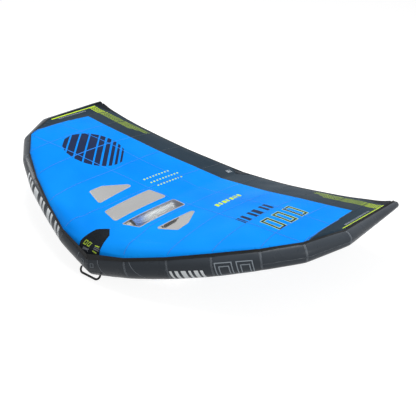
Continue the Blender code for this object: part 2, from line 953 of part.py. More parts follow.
def grip_sleeve(name, start, end, material, frame):
    """The foam sleeve on a handle's straight run."""
    run = (end - start).normalized()
    across = Vector((1.0, 0.0, 0.0))
    up = run.cross(across).normalized()
    middle = (start + end) / 2
    bore = strap_radius + seam_gap
    edge = (grip_radius - bore) * grip_edge_share
    half = grip_length / 2
    profile = (
        (-half, bore), (-half, grip_radius - edge), (edge - half, grip_radius),
        (half - edge, grip_radius), (half, grip_radius - edge), (half, bore),
    )
    rings = [circle(middle + run * place, across, up, radius, grip_sides) for place, radius in profile]
    return make_object(name, loft(name, rings, wrap=True), material, frame)


def handle(name, start_y, colours, frame):
    first, second = handle_line(start_y)
    run = (second - first).normalized()
    down = Vector((0.0, run.z, -run.y))
    pivot = make_empty(f"{name}_hinge", first, frame)
    start = Vector((0.0, 0.0, 0.0))
    end = second - first
    path = rounded_path(start, end, handle_drop, handle_corner, down)
    across = Vector((1.0, 0.0, 0.0))
    swept_strap(f"{name}_strap", path, across, strap_radius, colours["black"], pivot)
    grip_sleeve(f"{name}_grip", start + down * handle_drop, end + down * handle_drop, colours["foam"], pivot)
    handle_patch(f"{name}_patch", start_y, colours["black"], frame)
    return first, second


def nose_handle(material, frame):
    """The strap loop under the nose, held at both ends on the leading edge."""
    seat, normal = tube_skin(nose_strap_half, -nose_strap_angle)
    spot = seat + normal * (hinge_gap + strap_radius)
    pivot = make_empty("nose_handle_hinge", Vector((0.0, spot.y, spot.z)), frame)
    lean = math.radians(nose_strap_lean)
    down = Vector((0.0, -math.cos(lean), -math.sin(lean)))
    start = Vector((-spot.x, 0.0, 0.0))
    end = Vector((spot.x, 0.0, 0.0))
    path = rounded_path(start, end, nose_strap_drop, nose_strap_corner, down)
    across = down.cross(Vector((1.0, 0.0, 0.0)))
    swept_strap("nose_handle", path, across, strap_radius, material, pivot)
    return spot


# Valves
def valve_body(name, origin, axis, material, frame):
    """The valve's flange outside the casing and its neck through casing and bladder."""
    across = axis.orthogonal().normalized()
    up = axis.cross(across)
    profile = (
        (valve_bore_radius, -valve_depth),
        (valve_neck_radius, -valve_depth),
        (valve_neck_radius, seam_gap),
        (valve_flange_radius, seam_gap),
        (valve_flange_radius, valve_flange_height),
        (valve_collar_radius, valve_flange_height),
        (valve_collar_radius, valve_collar_height),
        (valve_bore_radius, valve_collar_height),
    )
    rings = []
    for radius, height in profile:
        rings.append(circle(origin + axis * height, across, up, radius, valve_sides))
    return make_object(name, loft(name, rings, wrap=True), material, frame)


def valve_cap(name, origin, axis, material, frame):
    """The screw cap: a ribbed disc on the collar and a hollow plug in the bore."""
    pivot = make_empty(f"{name}_hinge", origin, frame)
    base = valve_collar_height + seam_gap
    top = base + cap_height
    plug = valve_bore_radius - valve_clearance
    profile = (
        (plug, base - cap_plug), (plug, base), (cap_radius, base), (cap_radius, top - cap_edge),
        (cap_radius - cap_edge, top),
    )
    across = axis.orthogonal().normalized()
    up = axis.cross(across)
    rings = []
    for radius, height in profile:
        ring = []
        for index in range(valve_sides):
            angle = math.tau * index / valve_sides
            reach = radius
            if radius > plug and index % 2:
                reach = radius - cap_rib_depth
            spoke = math.cos(angle) * across + math.sin(angle) * up
            ring.append(axis * height + spoke * reach)
        rings.append(ring)
    return make_object(name, loft(name, rings), material, pivot)


def cut_hole(item, origin, axis, radius, length, frame):
    """Bore a round hole through an object's wall, where the valve's neck passes."""
    across = axis.orthogonal().normalized()
    up = axis.cross(across)
    rings = [circle(origin + axis * place, across, up, radius, valve_sides) for place in (-length, length)]
    name = f"{item.name}_cutter"
    cutter = make_object(name, loft(name, rings), item.data.materials[0], frame)
    cutter.hide_render = True
    cutter.display_type = "WIRE"
    modifier = item.modifiers.new("valve_hole", "BOOLEAN")
    modifier.operation = "DIFFERENCE"
    modifier.object = cutter


def edge_valve_place():
    seat, axis = tube_skin(valve_x, 180.0 + valve_angle)
    return seat + axis * valve_seat, axis


def strut_valve_place():
    angle = -math.pi + math.radians(strut_valve_angle)
    ahead = strut_point(strut_valve_y - valve_flange_radius, angle)
    behind = strut_point(strut_valve_y + valve_flange_radius, angle)
    run = (behind - ahead).normalized()
    out = Vector((math.cos(angle), 0.0, math.sin(angle)))
    return strut_point(strut_valve_y, angle), (out - run * out.dot(run)).normalized()


def valves(edge_panel, edge_inner, strut_sleeve, strut_inner, colours, frame):
    clearance = valve_clearance
    for name, place, shell, lining in (
        ("edge_valve", edge_valve_place(), edge_panel, edge_inner),
        ("strut_valve", strut_valve_place(), strut_sleeve, strut_inner),
    ):
        origin, axis = place
        valve_body(name, origin, axis, colours["plastic"], frame)
        valve_cap(f"{name}_cap", origin, axis, colours["cap"], frame)
        cut_hole(shell, origin, axis, valve_neck_radius + clearance, valve_depth, frame)
        cut_hole(lining, origin, axis, valve_neck_radius + clearance, valve_depth, frame)
        print(name, "axis", tuple(axis), "at", tuple(origin))


# Leash loop and zip
def leash_loop(material, frame):
    """A webbing loop under the strut's front, with a flat run that a leash is looped round."""
    half = loop_length / 2
    wall = loop_wall
    low = strut_point(loop_y, -math.pi / 2).z - loop_drop
    section = []
    for place in (-half, half, half - wall, wall - half):
        seat = strut_point(loop_y + place, -math.pi / 2).z - seam_gap
        bottom = low if abs(place) == half else low + wall
        ends = [(place, seat), (place, bottom)]
        section += ends if place in (-half, half - wall) else reversed(ends)
    rings = []
    for x in (-loop_width / 2, loop_width / 2):
        rings.append([Vector((x, loop_y + y, z)) for y, z in section])
    return make_object("leash_loop", loft("leash_loop", rings), material, frame)


def zip_frame():
    """Start and direction of the zip on the straight underside of the strut's tail."""
    start = strut_point(zip_start, -math.pi / 2)
    end = strut_point(zip_start + zip_length, -math.pi / 2)
    return start, end, (end - start).normalized()


def zip_tape_and_teeth(material, frame):
    start, end, run = zip_frame()
    down = Vector((0.0, run.z, -run.y))
    top = seam_gap * 2
    base = top + zip_tape
    ridge = base + zip_teeth_height
    profile = (
        (-zip_half, top), (-zip_half, base), (-zip_teeth_half, base), (-zip_teeth_half, ridge),
        (zip_teeth_half, ridge), (zip_teeth_half, base), (zip_half, base), (zip_half, top),
    )
    rings = []
    for place in (start, end):
        rings.append([place + Vector((x, 0.0, 0.0)) + down * depth for x, depth in profile])
    return make_object("strut_zip", loft("strut_zip", rings), material, frame)


def zip_slider(material, frame):
    """A slider that straddles the teeth and runs along them."""
    start, end, run = zip_frame()
    down = Vector((0.0, run.z, -run.y))
    gap = seam_gap
    base = seam_gap * 2 + zip_tape + gap
    ridge = seam_gap * 2 + zip_tape + zip_teeth_height + gap
    inner = zip_teeth_half + gap
    outer = inner + slider_wall
    low = ridge + slider_wall
    profile = (
        (-outer, base), (-outer, low), (outer, low), (outer, base),
        (inner, base), (inner, ridge), (-inner, ridge), (-inner, base),
    )
    place = start + run * (slider_travel_margin + slider_length / 2)
    pivot = make_empty("zip_slider_track", place, frame)
    rings = []
    for shift in (-slider_length / 2, slider_length / 2):
        here = run * shift
        rings.append([here + Vector((x, 0.0, 0.0)) + down * depth for x, depth in profile])
    make_object("zip_slider", loft("zip_slider", rings), material, pivot)
    travel = zip_length - slider_length - 2 * slider_travel_margin
    print("zip_slider from", tuple(place), "along", tuple(run), "travel", travel)


def stand_on_ground(frame):
    """Move the wing so that its box stands on the ground, centred on the origin."""
    bpy.context.view_layer.update()
    low = Vector((math.inf,) * 3)
    high = Vector((-math.inf,) * 3)
    for item in bpy.context.scene.objects:
        if item.type != "MESH" or item.hide_render:
            continue
        for vert in item.data.vertices:
            spot = item.matrix_world @ vert.co
            low = Vector(min(pair) for pair in zip(low, spot))
            high = Vector(max(pair) for pair in zip(high, spot))
    frame.location = (0.0, -(low.y + high.y) / 2, -low.z)
    print("wing frame at", tuple(frame.location), "size", tuple(high - low))


def main():
    clear_scene()
    colours = {
        "blue": make_material("canopy_blue", (0.01, 0.22, 0.85), 0.45),
        "dark": make_material("band_slate", (0.022, 0.035, 0.052), 0.5),
        "black": make_material("webbing_black", (0.012, 0.013, 0.015), 0.7),
        "charcoal": make_material("edge_charcoal", (0.05, 0.055, 0.065), 0.45),
        "film": make_material("window_film", (0.62, 0.63, 0.6), 0.12),
        "beige": make_material("neck_beige", (0.55, 0.52, 0.46), 0.6),
        "foam": make_material("grip_foam", (0.02, 0.021, 0.023), 0.85),
        "bladder": make_material("bladder_film", (0.7, 0.72, 0.72), 0.3),
        "plastic": make_material("valve_plastic", (0.02, 0.02, 0.022), 0.4),
        "cap": make_material("cap_plastic", (0.12, 0.13, 0.14), 0.4),
        "metal": make_material("slider_metal", (0.5, 0.5, 0.5), 0.35, 0.9),
    }
    frame = make_empty("wing_frame", (0.0, 0.0, 0.0))
    for side in (1, -1):
        for index in range(len(front_x) - 1):
            casing_panel(index, side, colours["charcoal"], frame)
        tip_cap(side, colours["black"], frame)
        binding(side, colours["black"], frame)
        canopy_half(side, colours, frame)
        hem(side, colours["black"], frame)
    edge_inner = edge_bladder(colours["bladder"], frame)
    nose_patch(colours["black"], frame)
    tail_patch(colours["dark"], frame)
    strut_casings(colours, frame)
    strut_end_cap(colours["black"], frame)
    strut_inner = strut_bladder(colours["bladder"], frame)
    for name, start_y in (("front_handle", front_handle_start), ("rear_handle", rear_handle_start)):
        first, second = handle(name, start_y, colours, frame)
        print(name, "hinge", tuple(first), tuple((second - first).normalized()))
    print("nose_handle hinge", tuple(nose_handle(colours["black"], frame)))
    edge_panel = bpy.data.objects["le_panel_right_1"]
    strut_sleeve = bpy.data.objects["strut_casing"]
    valves(edge_panel, edge_inner, strut_sleeve, strut_inner, colours, frame)
    leash_loop(colours["black"], frame)
    zip_tape_and_teeth(colours["black"], frame)
    zip_slider(colours["metal"], frame)
    stand_on_ground(frame)


main()
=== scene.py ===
"""Looks of a hand-held inflatable wing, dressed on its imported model.

X runs along the span, Y from the nose to the trailing edge and Z up, in metres. The wing's own
measures start at the joint between canopy and leading edge at the nose, as in its pattern.
"""

import math
from collections import namedtuple

import bmesh
import bpy
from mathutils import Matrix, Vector
from mathutils.geometry import delaunay_2d_cdt
from mathutils.kdtree import KDTree


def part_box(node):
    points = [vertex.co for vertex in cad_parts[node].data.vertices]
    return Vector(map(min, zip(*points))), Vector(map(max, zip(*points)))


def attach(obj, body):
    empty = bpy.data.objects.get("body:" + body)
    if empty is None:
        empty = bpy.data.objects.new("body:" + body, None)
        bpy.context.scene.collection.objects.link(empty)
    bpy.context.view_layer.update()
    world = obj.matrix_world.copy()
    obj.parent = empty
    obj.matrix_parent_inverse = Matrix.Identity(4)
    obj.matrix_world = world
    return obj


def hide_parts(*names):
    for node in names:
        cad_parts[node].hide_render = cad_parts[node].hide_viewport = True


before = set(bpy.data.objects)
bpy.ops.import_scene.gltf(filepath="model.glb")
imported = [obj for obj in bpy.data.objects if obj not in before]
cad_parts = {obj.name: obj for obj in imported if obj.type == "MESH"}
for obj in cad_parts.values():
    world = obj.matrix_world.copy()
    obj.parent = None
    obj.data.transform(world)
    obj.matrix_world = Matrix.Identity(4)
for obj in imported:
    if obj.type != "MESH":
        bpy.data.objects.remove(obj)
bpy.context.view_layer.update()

# Camera
# It looks down on the wing from in front of its right tip, as in the photograph.


def new_object(name, data):
    item = bpy.data.objects.new(name, data)
    bpy.context.scene.collection.objects.link(item)
    return item


camera = new_object("camera", bpy.data.cameras.new("camera"))
camera.location = (3.2705, -3.9433, 3.2109)
camera.rotation_euler = [math.radians(angle) for angle in (59.182, -0.9015, 37.0986)]
camera.data.sensor_width = 36.0
camera.data.lens = 62.31
camera.data.clip_end = 100.0
bpy.context.scene.camera = camera
bpy.context.scene.view_settings.view_transform = "Standard"

# Studio
# A plain pale floor and soft light from large lamps. What the camera sees beyond the wing is
# white, and the floor keeps the wing's soft shadow.
floor_half = 12.0
floor_tone = (0.3, 0.3, 0.3, 1.0)
floor_lift = 0.87
sky_light = 0.3
white = (1.0, 1.0, 1.0, 1.0)
lamps = (("key_lamp", (-0.5, 0.7, 5.0), 2.6, 240.0), ("right_lamp", (6.0, -1.5, 2.4), 1.5, 150.0),
         ("left_lamp", (-6.0, -1.5, 2.4), 1.5, 80.0))


def feed(tree, node, inputs):
    """Give inputs, by place or by name with _ for spaces, a value, a socket or a node's output."""
    for key, value in inputs.items():
        socket = node.inputs[key.replace("_", " ") if isinstance(key, str) else key]
        if isinstance(value, bpy.types.Node):
            value = next(output for output in value.outputs if output.enabled)
        if isinstance(value, bpy.types.NodeSocket):
            tree.links.new(value, socket)
        else:
            socket.default_value = value


def add_node(tree, kind, *fed, **values):
    """A node with its inputs fed. A name in small letters is one of its settings."""
    node = tree.nodes.new(kind)
    for key in [key for key in values if key.islower()]:
        setattr(node, key, values.pop(key))
    feed(tree, node, dict(enumerate(fed)) | values)
    return node


def maths(tree, operation, *fed):
    return add_node(tree, "ShaderNodeMath", *fed, operation=operation)


def empty_tree(owner):
    owner.use_nodes = True
    owner.node_tree.nodes.clear()
    return owner.node_tree


def seen_directly(tree):
    """One for rays from the camera, from mirrors and through glass, and zero for other light."""
    path = add_node(tree, "ShaderNodeLightPath").outputs
    first = maths(tree, "MAXIMUM", path["Is Camera Ray"], path["Is Glossy Ray"])
    return maths(tree, "MAXIMUM", first, path["Is Transmission Ray"])


def studio_world():
    world = bpy.data.worlds.new("studio")
    tree = empty_tree(world)
    light = add_node(tree, "ShaderNodeBackground", white, sky_light)
    seen = add_node(tree, "ShaderNodeBackground", white)
    mix = add_node(tree, "ShaderNodeMixShader", seen_directly(tree), light, seen)
    add_node(tree, "ShaderNodeOutputWorld", mix)
    return world


def studio_floor():
    material = bpy.data.materials.new("studio_floor")
    tree = empty_tree(material)
    paint = add_node(tree, "ShaderNodeBsdfDiffuse", floor_tone)
    lift = maths(tree, "MULTIPLY", seen_directly(tree), floor_lift)
    glow = add_node(tree, "ShaderNodeEmission", white, lift)
    add_node(tree, "ShaderNodeOutputMaterial", add_node(tree, "ShaderNodeAddShader", paint, glow))
    mesh = bpy.data.meshes.new("studio_floor")
    corners = [(x * floor_half, y * floor_half, 0.0) for x, y in ((-1, -1), (1, -1), (1, 1), (-1, 1))]
    mesh.from_pydata(corners, [], [(0, 1, 2, 3)])
    mesh.materials.append(material)
    return new_object("studio_floor", mesh)


bpy.context.scene.world = studio_world()
studio_floor()
for name, place, size, power in lamps:
    light = bpy.data.lights.new(name, "AREA")
    light.size = size
    light.energy = power
    lamp = new_object(name, light)
    lamp.location = place
    lamp.rotation_euler = (-Vector(place)).to_track_quat("-Z", "Y").to_euler()

# Leading edge casing
# Heavy woven polyester cut as seven tapered sleeves on each side, sewn end to end round an
# airtight tube. Each sleeve swells a little between its seams, which are stitched twice.
half_span = 1.56
chord_length = 2.0085
edge_rise = 0.3315
nose_radius = 0.135
casing_wall = 0.0015
seam_gap = 0.0003
half_gap = seam_gap / 2
joint_gap = 0.0032
front_x_shares = (0.0, 0.1968, 0.3808, 0.5628, 0.741, 0.8788, 0.9667, 1.0)
front_y_shares = (0.0, 0.0314, 0.0945, 0.1638, 0.2523, 0.3549, 0.5173, 0.8793)
front_z_shares = (0.0, 0.2456, 0.4437, 0.6802, 0.8742, 1.0, 0.9801, 0.7478)
tube_radius_shares = (1.0, 1.0, 0.852, 0.719, 0.593, 0.563, 0.415, 0.2)
joint_degrees = (155.0, 149.0, 134.0, 117.0, 103.0, 94.0, 68.0, 56.0)
front_x = [share * half_span for share in front_x_shares]
front_y = [share * chord_length for share in front_y_shares]
front_z = [share * edge_rise for share in front_z_shares]
tube_sides = 72
sleeve_swell = 0.0012
seam_draw = 0.0016
seam_reach = 0.018
sleeve_steps = (0.0, 0.004, 0.01, 0.02, 0.035, 0.06)
sleeve_middle_steps = 6
sharp_degrees = 40.0
Station = namedtuple("Station", "centre radius out up heading joint")


def turned(across, up, angle):
    """The direction at an angle from one direction towards another."""
    return math.cos(angle) * across + math.sin(angle) * up


def circle(centre, across, up, radius, sides):
    return [centre + radius * turned(across, up, math.tau * index / sides) for index in range(sides)]


def tube_stations():
    """The leading edge tube at each seam: its axis, radius and directions, and the canopy's joint."""
    joints = [Vector(values) for values in zip(front_x, front_y, front_z)]
    stations = []
    for index, joint in enumerate(joints):
        heading = Vector((1.0, 0.0, 0.0))
        if index > 0:
            heading = (joint - joints[index - 1]).normalized()
            if index < len(joints) - 1:
                heading += (joints[index + 1] - joint).normalized()
        heading.normalize()
        up = Vector((0.0, 0.0, 1.0))
        up = (up - heading * up.dot(heading)).normalized()
        out = heading.cross(up)
        if out.y > 0.0:
            out = -out
        radius = nose_radius * tube_radius_shares[index]
        centre = joint + (radius + joint_gap) * turned(out, up, -math.radians(joint_degrees[index]))
        stations.append(Station(centre, radius, out, up, heading, joint))
    return stations


tube = tube_stations()
panel_count = len(tube) - 1
nose_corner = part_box("le_panel_right_1")[0]
wing_place = Vector((0.0, nose_corner[1] - tube[0].centre.y + nose_radius,
                     nose_corner[2] - tube[0].centre.z + nose_radius))


def flipped(point, side):
    return Vector((side * point.x, point.y, point.z))


def mirrored(points, side):
    return [flipped(point, side) for point in points]


def side_name(side):
    return "right" if side > 0 else "left"


def between(near, far, share):
    """The tube part of the way from one seam to the next."""
    radius = near.radius + (far.radius - near.radius) * share
    out = (near.out * near.radius).lerp(far.out * far.radius, share) / radius
    up = (near.up * near.radius).lerp(far.up * far.radius, share) / radius
    return Station(near.centre.lerp(far.centre, share), radius, out, up,
                   near.heading.lerp(far.heading, share), near.joint.lerp(far.joint, share))


def drawn_radius(radius, distance):
    """The sleeve swells between its seams and is drawn in where they are sewn."""
    return radius + sleeve_swell - (seam_draw + sleeve_swell) * math.exp(-distance / seam_reach)


def skin(maker, rings, wrap):
    """Skin a row of equal rings, with a UV map in metres round the ring and along the row.

    Its last ring is joined to its first, or else both ends get a face.
    """
    weave_map = maker.loops.layers.uv.verify()
    loops = [[maker.verts.new(point) for point in ring] for ring in rings]
    sides = len(rings[0])
    reach = 0.0
    faces = []
    for index in range(len(rings) if wrap else len(rings) - 1):
        following = (index + 1) % len(rings)
        width = (rings[index][1] - rings[index][0]).length
        step = (rings[following][0] - rings[index][0]).length
        near, far = loops[index], loops[following]
        for side in range(sides):
            turn = (side + 1) % sides
            face = maker.faces.new((near[side], near[turn], far[turn], far[side]))
            for loop, (u, v) in zip(face.loops, ((side, 0), (side + 1, 0), (side + 1, 1), (side, 1))):
                loop[weave_map].uv = (u * width, reach + v * step)
            faces.append(face)
        reach += step
    if not wrap:
        faces += [maker.faces.new(loops[0][::-1]), maker.faces.new(loops[-1])]
    return faces


def dress(piece, body, slot, stands_for=()):
    """Let a piece ride on a body and stand for nodes of the frame, whose parts are hidden. The slot is not
    used.
    """
    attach(piece, body)
    if stands_for:
        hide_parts(*stands_for)
    return piece


def make_piece(name, maker, materials, slot, stands_for=(), body="wing", sharp=sharp_degrees):
    """Turn a mesh in the wing's own measures into a piece that rides on a body of the wing."""
    bmesh.ops.translate(maker, verts=maker.verts, vec=wing_place)
    mesh = bpy.data.meshes.new(name)
    maker.to_mesh(mesh)
    maker.free()
    mesh.shade_smooth()
    mesh.set_sharp_from_angle(angle=math.radians(sharp))
    for material in materials:
        mesh.materials.append(material)
    return dress(new_object(name, mesh), body, slot, stands_for)


def skin_piece(name, rows, material, slot, *stands_for, wrap=False, body="wing", sharp=sharp_degrees):
    """A piece of closed skins, one for each row of rings."""
    maker = bmesh.new()
    for rings in rows:
        skin(maker, rings, wrap)
    bmesh.ops.recalc_face_normals(maker, faces=maker.faces)
    return make_piece(name, maker, [material], slot, stands_for, body, sharp)


def new_group(name, inputs, kind="ShaderNodeTree"):
    """An empty node group and the sockets of its inputs, each with a name, a kind and a value."""
    group = bpy.data.node_groups.new(name, kind)
    for label, form, value in inputs:
        socket = group.interface.new_socket(label, in_out="INPUT", socket_type=f"NodeSocket{form}")
        if value is not None:
            socket.default_value = value
    return group, add_node(group, "NodeGroupInput").outputs


def finish_group(group, label, form, value):
    """Give a node group its one output."""
    group.interface.new_socket(label, in_out="OUTPUT", socket_type=f"NodeSocket{form}")
    add_node(group, "NodeGroupOutput", value)
    return group


def weave_group():
    """Threads over and under each other; the vector is in metres."""
    group, given = new_group("weave", (("Vector", "Vector", None), ("Threads per metre", "Float", 800.0)))
    scaled = add_node(group, "ShaderNodeVectorMath", given["Vector"], operation="SCALE",
                      Scale=given["Threads per metre"])
    parts = add_node(group, "ShaderNodeSeparateXYZ", scaled)
    over = add_node(group, "ShaderNodeTexChecker", scaled, Scale=1.0)
    waves = [maths(group, "SINE", maths(group, "MULTIPLY", parts.outputs[axis], math.pi)) for axis in "XY"]
    across, length = (maths(group, "ABSOLUTE", wave) for wave in waves)
    mix = add_node(group, "ShaderNodeMix", data_type="FLOAT", Factor=over.outputs["Fac"], A=across, B=length)
    return finish_group(group, "Height", "Float", mix)


def unevenness_group():
    """A soft cloudy value between two limits."""
    group, given = new_group("unevenness", (("Vector", "Vector", None), ("Scale", "Float", 4.0),
                                            ("Low", "Float", 0.0), ("High", "Float", 1.0)))
    cloud = add_node(group, "ShaderNodeTexNoise", given["Vector"], Scale=given["Scale"], Detail=3.0,
                     Roughness=0.55)
    value = add_node(group, "ShaderNodeMapRange", cloud, 0.3, 0.7, given["Low"], given["High"])
    return finish_group(group, "Value", "Float", value)


weave = weave_group()
unevenness = unevenness_group()
gloss_spread = 0.06
gloss_scale = 2.7
weave_depth = 0.5


def uneven(tree, vector, scale, low=0.0, high=1.0):
    return add_node(tree, "ShaderNodeGroup", node_tree=unevenness, Vector=vector, Scale=scale, Low=low,
                    High=high)


def two_tones(tree, vector, scale, low, high):
    tones = uneven(tree, vector, scale)
    return add_node(tree, "ShaderNodeMix", data_type="RGBA", Factor=tones, A=(*low, 1.0), B=(*high, 1.0))


def new_material(name):
    """A material with its tree, its Principled node and the sockets of its coordinates."""
    material = bpy.data.materials.new(name)
    material.use_nodes = True
    tree = material.node_tree
    return material, tree, tree.nodes["Principled BSDF"], add_node(tree, "ShaderNodeTexCoord").outputs


def cloth_material(name, low, high, roughness=0.5, relief=0.1, threads=900.0, shine=0.2, cloud_scale=3.0,
                   sheen=0.0):
    """Woven cloth: two tones of a colour, a weave of so many threads to the metre, and soft wear."""
    material, tree, shader, place = new_material(name)
    gloss = uneven(tree, place["Object"], cloud_scale * gloss_scale, roughness - gloss_spread,
                   roughness + gloss_spread)
    woven = add_node(tree, "ShaderNodeGroup", node_tree=weave, Vector=place["UV"], Threads_per_metre=threads)
    bump = add_node(tree, "ShaderNodeBump", Strength=relief, Distance=weave_depth / threads, Height=woven)
    feed(tree, shader, {
        "Base Color": two_tones(tree, place["Object"], cloud_scale, low, high), "Roughness": gloss,
        "Normal": bump, "Sheen Weight": sheen, "Specular IOR Level": shine})
    return material


casing_cloth = cloth_material("casing_cloth", (0.038, 0.046, 0.056), (0.047, 0.056, 0.068), 0.3,
                              threads=700.0, shine=0.12)


def spread(start, end, count):
    """Values from start to end in equal steps."""
    return [start + (end - start) * step / count for step in range(count + 1)]


def sleeve_places(length):
    """Distances along a sleeve at which it gets a ring, closer together near its seams."""
    middle = spread(sleeve_steps[-1], length - sleeve_steps[-1], sleeve_middle_steps)[1:-1]
    return list(sleeve_steps) + middle + [length - step for step in reversed(sleeve_steps)]


def casing_sleeve(near, far, side):
    """Rings over the outside of a sleeve and back along its inside."""
    length = (far.centre - near.centre).length
    outer = []
    inner = []
    for place in sleeve_places(length):
        spot = between(near, far, (half_gap + place * (1.0 - seam_gap / length)) / length)
        radius = drawn_radius(spot.radius, min(place, length - place))
        for wall, rings in ((0.0, outer), (casing_wall, inner)):
            rings.append(mirrored(circle(spot.centre, spot.out, spot.up, radius - wall, tube_sides), side))
    return outer + inner[::-1]


for side in (1, -1):
    for index, (near, far) in enumerate(zip(tube, tube[1:])):
        place = f"{side_name(side)}_{index + 1}"
        skin_piece(f"casing_{place}", [casing_sleeve(near, far, side)], casing_cloth, "edge_charcoal",
                   f"le_panel_{place}", wrap=True)

# Tip caps
# A sewn cup of the same strong cloth closes each end of the leading edge.
cap_cloth = cloth_material("cap_cloth", (0.010, 0.011, 0.013), (0.020, 0.021, 0.024), 0.6, 0.4, 600.0)
tip_turn = 88.0
tip_steps = 8


def cup(ring_at):
    """Rings of a cup from near its pole over its outside to the rim, and back along its inside."""
    turns = spread(0.0, math.radians(tip_turn), tip_steps)
    return [ring_at(turn, 0.0) for turn in turns[::-1]] + [ring_at(turn, casing_wall) for turn in turns]


def tip_ring(turn, wall):
    tip = tube[-1]
    radius = tip.radius - wall
    middle = tip.centre + tip.heading * (half_gap + radius * math.sin(turn))
    return circle(middle, tip.out, tip.up, radius * math.cos(turn), tube_sides)


for side in (1, -1):
    skin_piece(f"tip_cup_{side_name(side)}", [[mirrored(ring, side) for ring in cup(tip_ring)]], cap_cloth,
               "webbing_black", f"le_tip_cap_{side_name(side)}")

# Canopy
# One continuous sheet of coated ripstop polyester, sewn from panels and held taut between the
# leading edge and the strut. The dark band along its trailing edge and the tips is heavier cloth.
tail_drop = 0.1226
cloth = 0.0015
rear_x_shares = (0.0, 0.1795, 0.3846, 0.641, 0.7692, 0.8654, 0.9295, 1.0)
rear_y_shares = (1.0, 0.9801, 0.9304, 0.886, 0.8766, 0.8731, 0.8758, 0.8793)
rear_z_shares = (0.0, 0.1053, 0.3366, 0.6237, 0.7438, 0.8443, 0.8977, 1.0)
rear_x = [share * half_span for share in rear_x_shares]
rear_y = [share * chord_length for share in rear_y_shares]
rear_z = [share * (tail_drop + front_z[-1]) - tail_drop for share in rear_z_shares]
side_camber = 0.108
side_camber_powers = (0.45, 0.75)
side_camber_fade_powers = (4, 1.5)
centre_camber = 0.062
centre_camber_powers = (0.3, 2.2)
centre_camber_width = 0.24
cover_gap = 0.012
cover_ease = 0.04
cover_round = 0.016
smooth_share = 0.22
slope_reach = 0.002
tube_end_share = 0.1
tube_top_tries = 3
band_width = 0.335
tip_panel_share = 0.891
canopy_step = 0.025
canopy_rows = 60
canopy_row_power = 1.5
point_keep_off = 0.007
meeting_tolerance = 1e-6


def limited(share):
    return min(max(share, 0.0), 1.0)


def segment_at(stations, place):
    for index in range(len(stations) - 2):
        if place <= stations[index + 1]:
            return index
    return len(stations) - 2


def along(stations, values, place):
    index = segment_at(stations, place)
    share = limited((place - stations[index]) / (stations[index + 1] - stations[index]))
    return values[index] + (values[index + 1] - values[index]) * share


def eased_along(stations, values, place):
    """As along, on a curve that turns smoothly at each station."""
    index = segment_at(stations, place)
    slopes = []
    for station in (index, index + 1):
        low = max(station - 1, 0)
        high = min(station + 1, len(stations) - 1)
        slopes.append((values[high] - values[low]) / (stations[high] - stations[low]))
    run = stations[index + 1] - stations[index]
    share = limited((place - stations[index]) / run)
    square = share * share
    cube = square * share
    return (values[index] * (2 * cube - 3 * square + 1) + slopes[0] * run * (cube - 2 * square + share)
            + values[index + 1] * (3 * square - 2 * cube) + slopes[1] * run * (cube - square))


def front_line(x):
    return along(front_x, front_y, abs(x))


def rear_line(x):
    return eased_along(rear_x, rear_y, abs(x))


def band_line(x):
    return rear_line(x) - band_width


def tube_top(x, y):
    """Height of the leading edge tube's upper side over a point, or far below where it is clear."""
    highest = -half_span
    for near, far in zip(tube, tube[1:]):
        length = (far.centre - near.centre).length
        heading = (far.centre - near.centre) / length
        ahead = Vector((x - near.centre.x, y - near.centre.y, 0.0))
        radius = near.radius
        for _ in range(tube_top_tries):
            flat = ahead.dot(heading)
            first = 1.0 - heading.z ** 2
            second = -2.0 * heading.z * flat
            inner = second ** 2 - 4.0 * first * (ahead.length_squared - flat ** 2 - radius ** 2)
            if inner < 0.0:
                break
            rise = (math.sqrt(inner) - second) / (2.0 * first)
            share = (flat + rise * heading.z) / length
            radius = near.radius + (far.radius - near.radius) * limited(share)
        if inner >= 0.0 and -tube_end_share < share < 1.0 + tube_end_share:
            highest = max(highest, near.centre.z + rise)
    return highest


def arch(share, front_power, rear_power):
    """A curve that leaves both ends at zero and peaks at one."""
    peak = front_power / (front_power + rear_power)
    return (share / peak) ** front_power * ((1.0 - share) / (1.0 - peak)) ** rear_power


def canopy_height(x, y):
    """Height of the canopy: a straight line from edge to edge, the camber on it, and the tube under it."""
    x = abs(x)
    start = front_line(x)
    rear = rear_line(x)
    smooth = min(limited((y - start) / max(rear - start, seam_gap)) / smooth_share, 1.0)
    smooth = smooth * smooth * (3.0 - 2.0 * smooth)
    ease = limited((y - start) / cover_ease)
    start += (eased_along(front_x, front_y, x) - start) * smooth
    front = along(front_x, front_z, x)
    front += (eased_along(front_x, front_z, x) - front) * smooth
    share = limited((y - start) / max(rear - start, seam_gap))
    edge_power, whole_power = side_camber_fade_powers
    fade = (1.0 - min(x / half_span, 1.0) ** edge_power) ** whole_power
    near = math.exp(-((x / centre_camber_width) ** 2))
    free = front * (1.0 - share) + eased_along(rear_x, rear_z, x) * share
    free += side_camber * fade * arch(share, *side_camber_powers)
    free += centre_camber * near * arch(share, *centre_camber_powers)
    cover = tube_top(x, y) + cover_gap * ease
    blend = max(cover_round * ease - abs(free - cover), 0.0)
    return max(free, cover) + blend * blend / (4.0 * cover_round)


def canopy_normal(x, y):
    """The direction square off the cloth."""
    y = max(y, front_line(x) + slope_reach)
    rise = (canopy_height(x, y + slope_reach) - canopy_height(x, y - slope_reach)) / (2 * slope_reach)
    lean = (canopy_height(x + slope_reach, y) - canopy_height(x - slope_reach, y)) / (2 * slope_reach)
    return Vector((-lean, -rise, 1.0)).normalized()


def canopy_point(x, y, lift):
    """The canopy's point over a place in the plan, lifted square off the cloth."""
    point = Vector((x, y, canopy_height(x, y)))
    return point + canopy_normal(x, y) * lift if lift else point


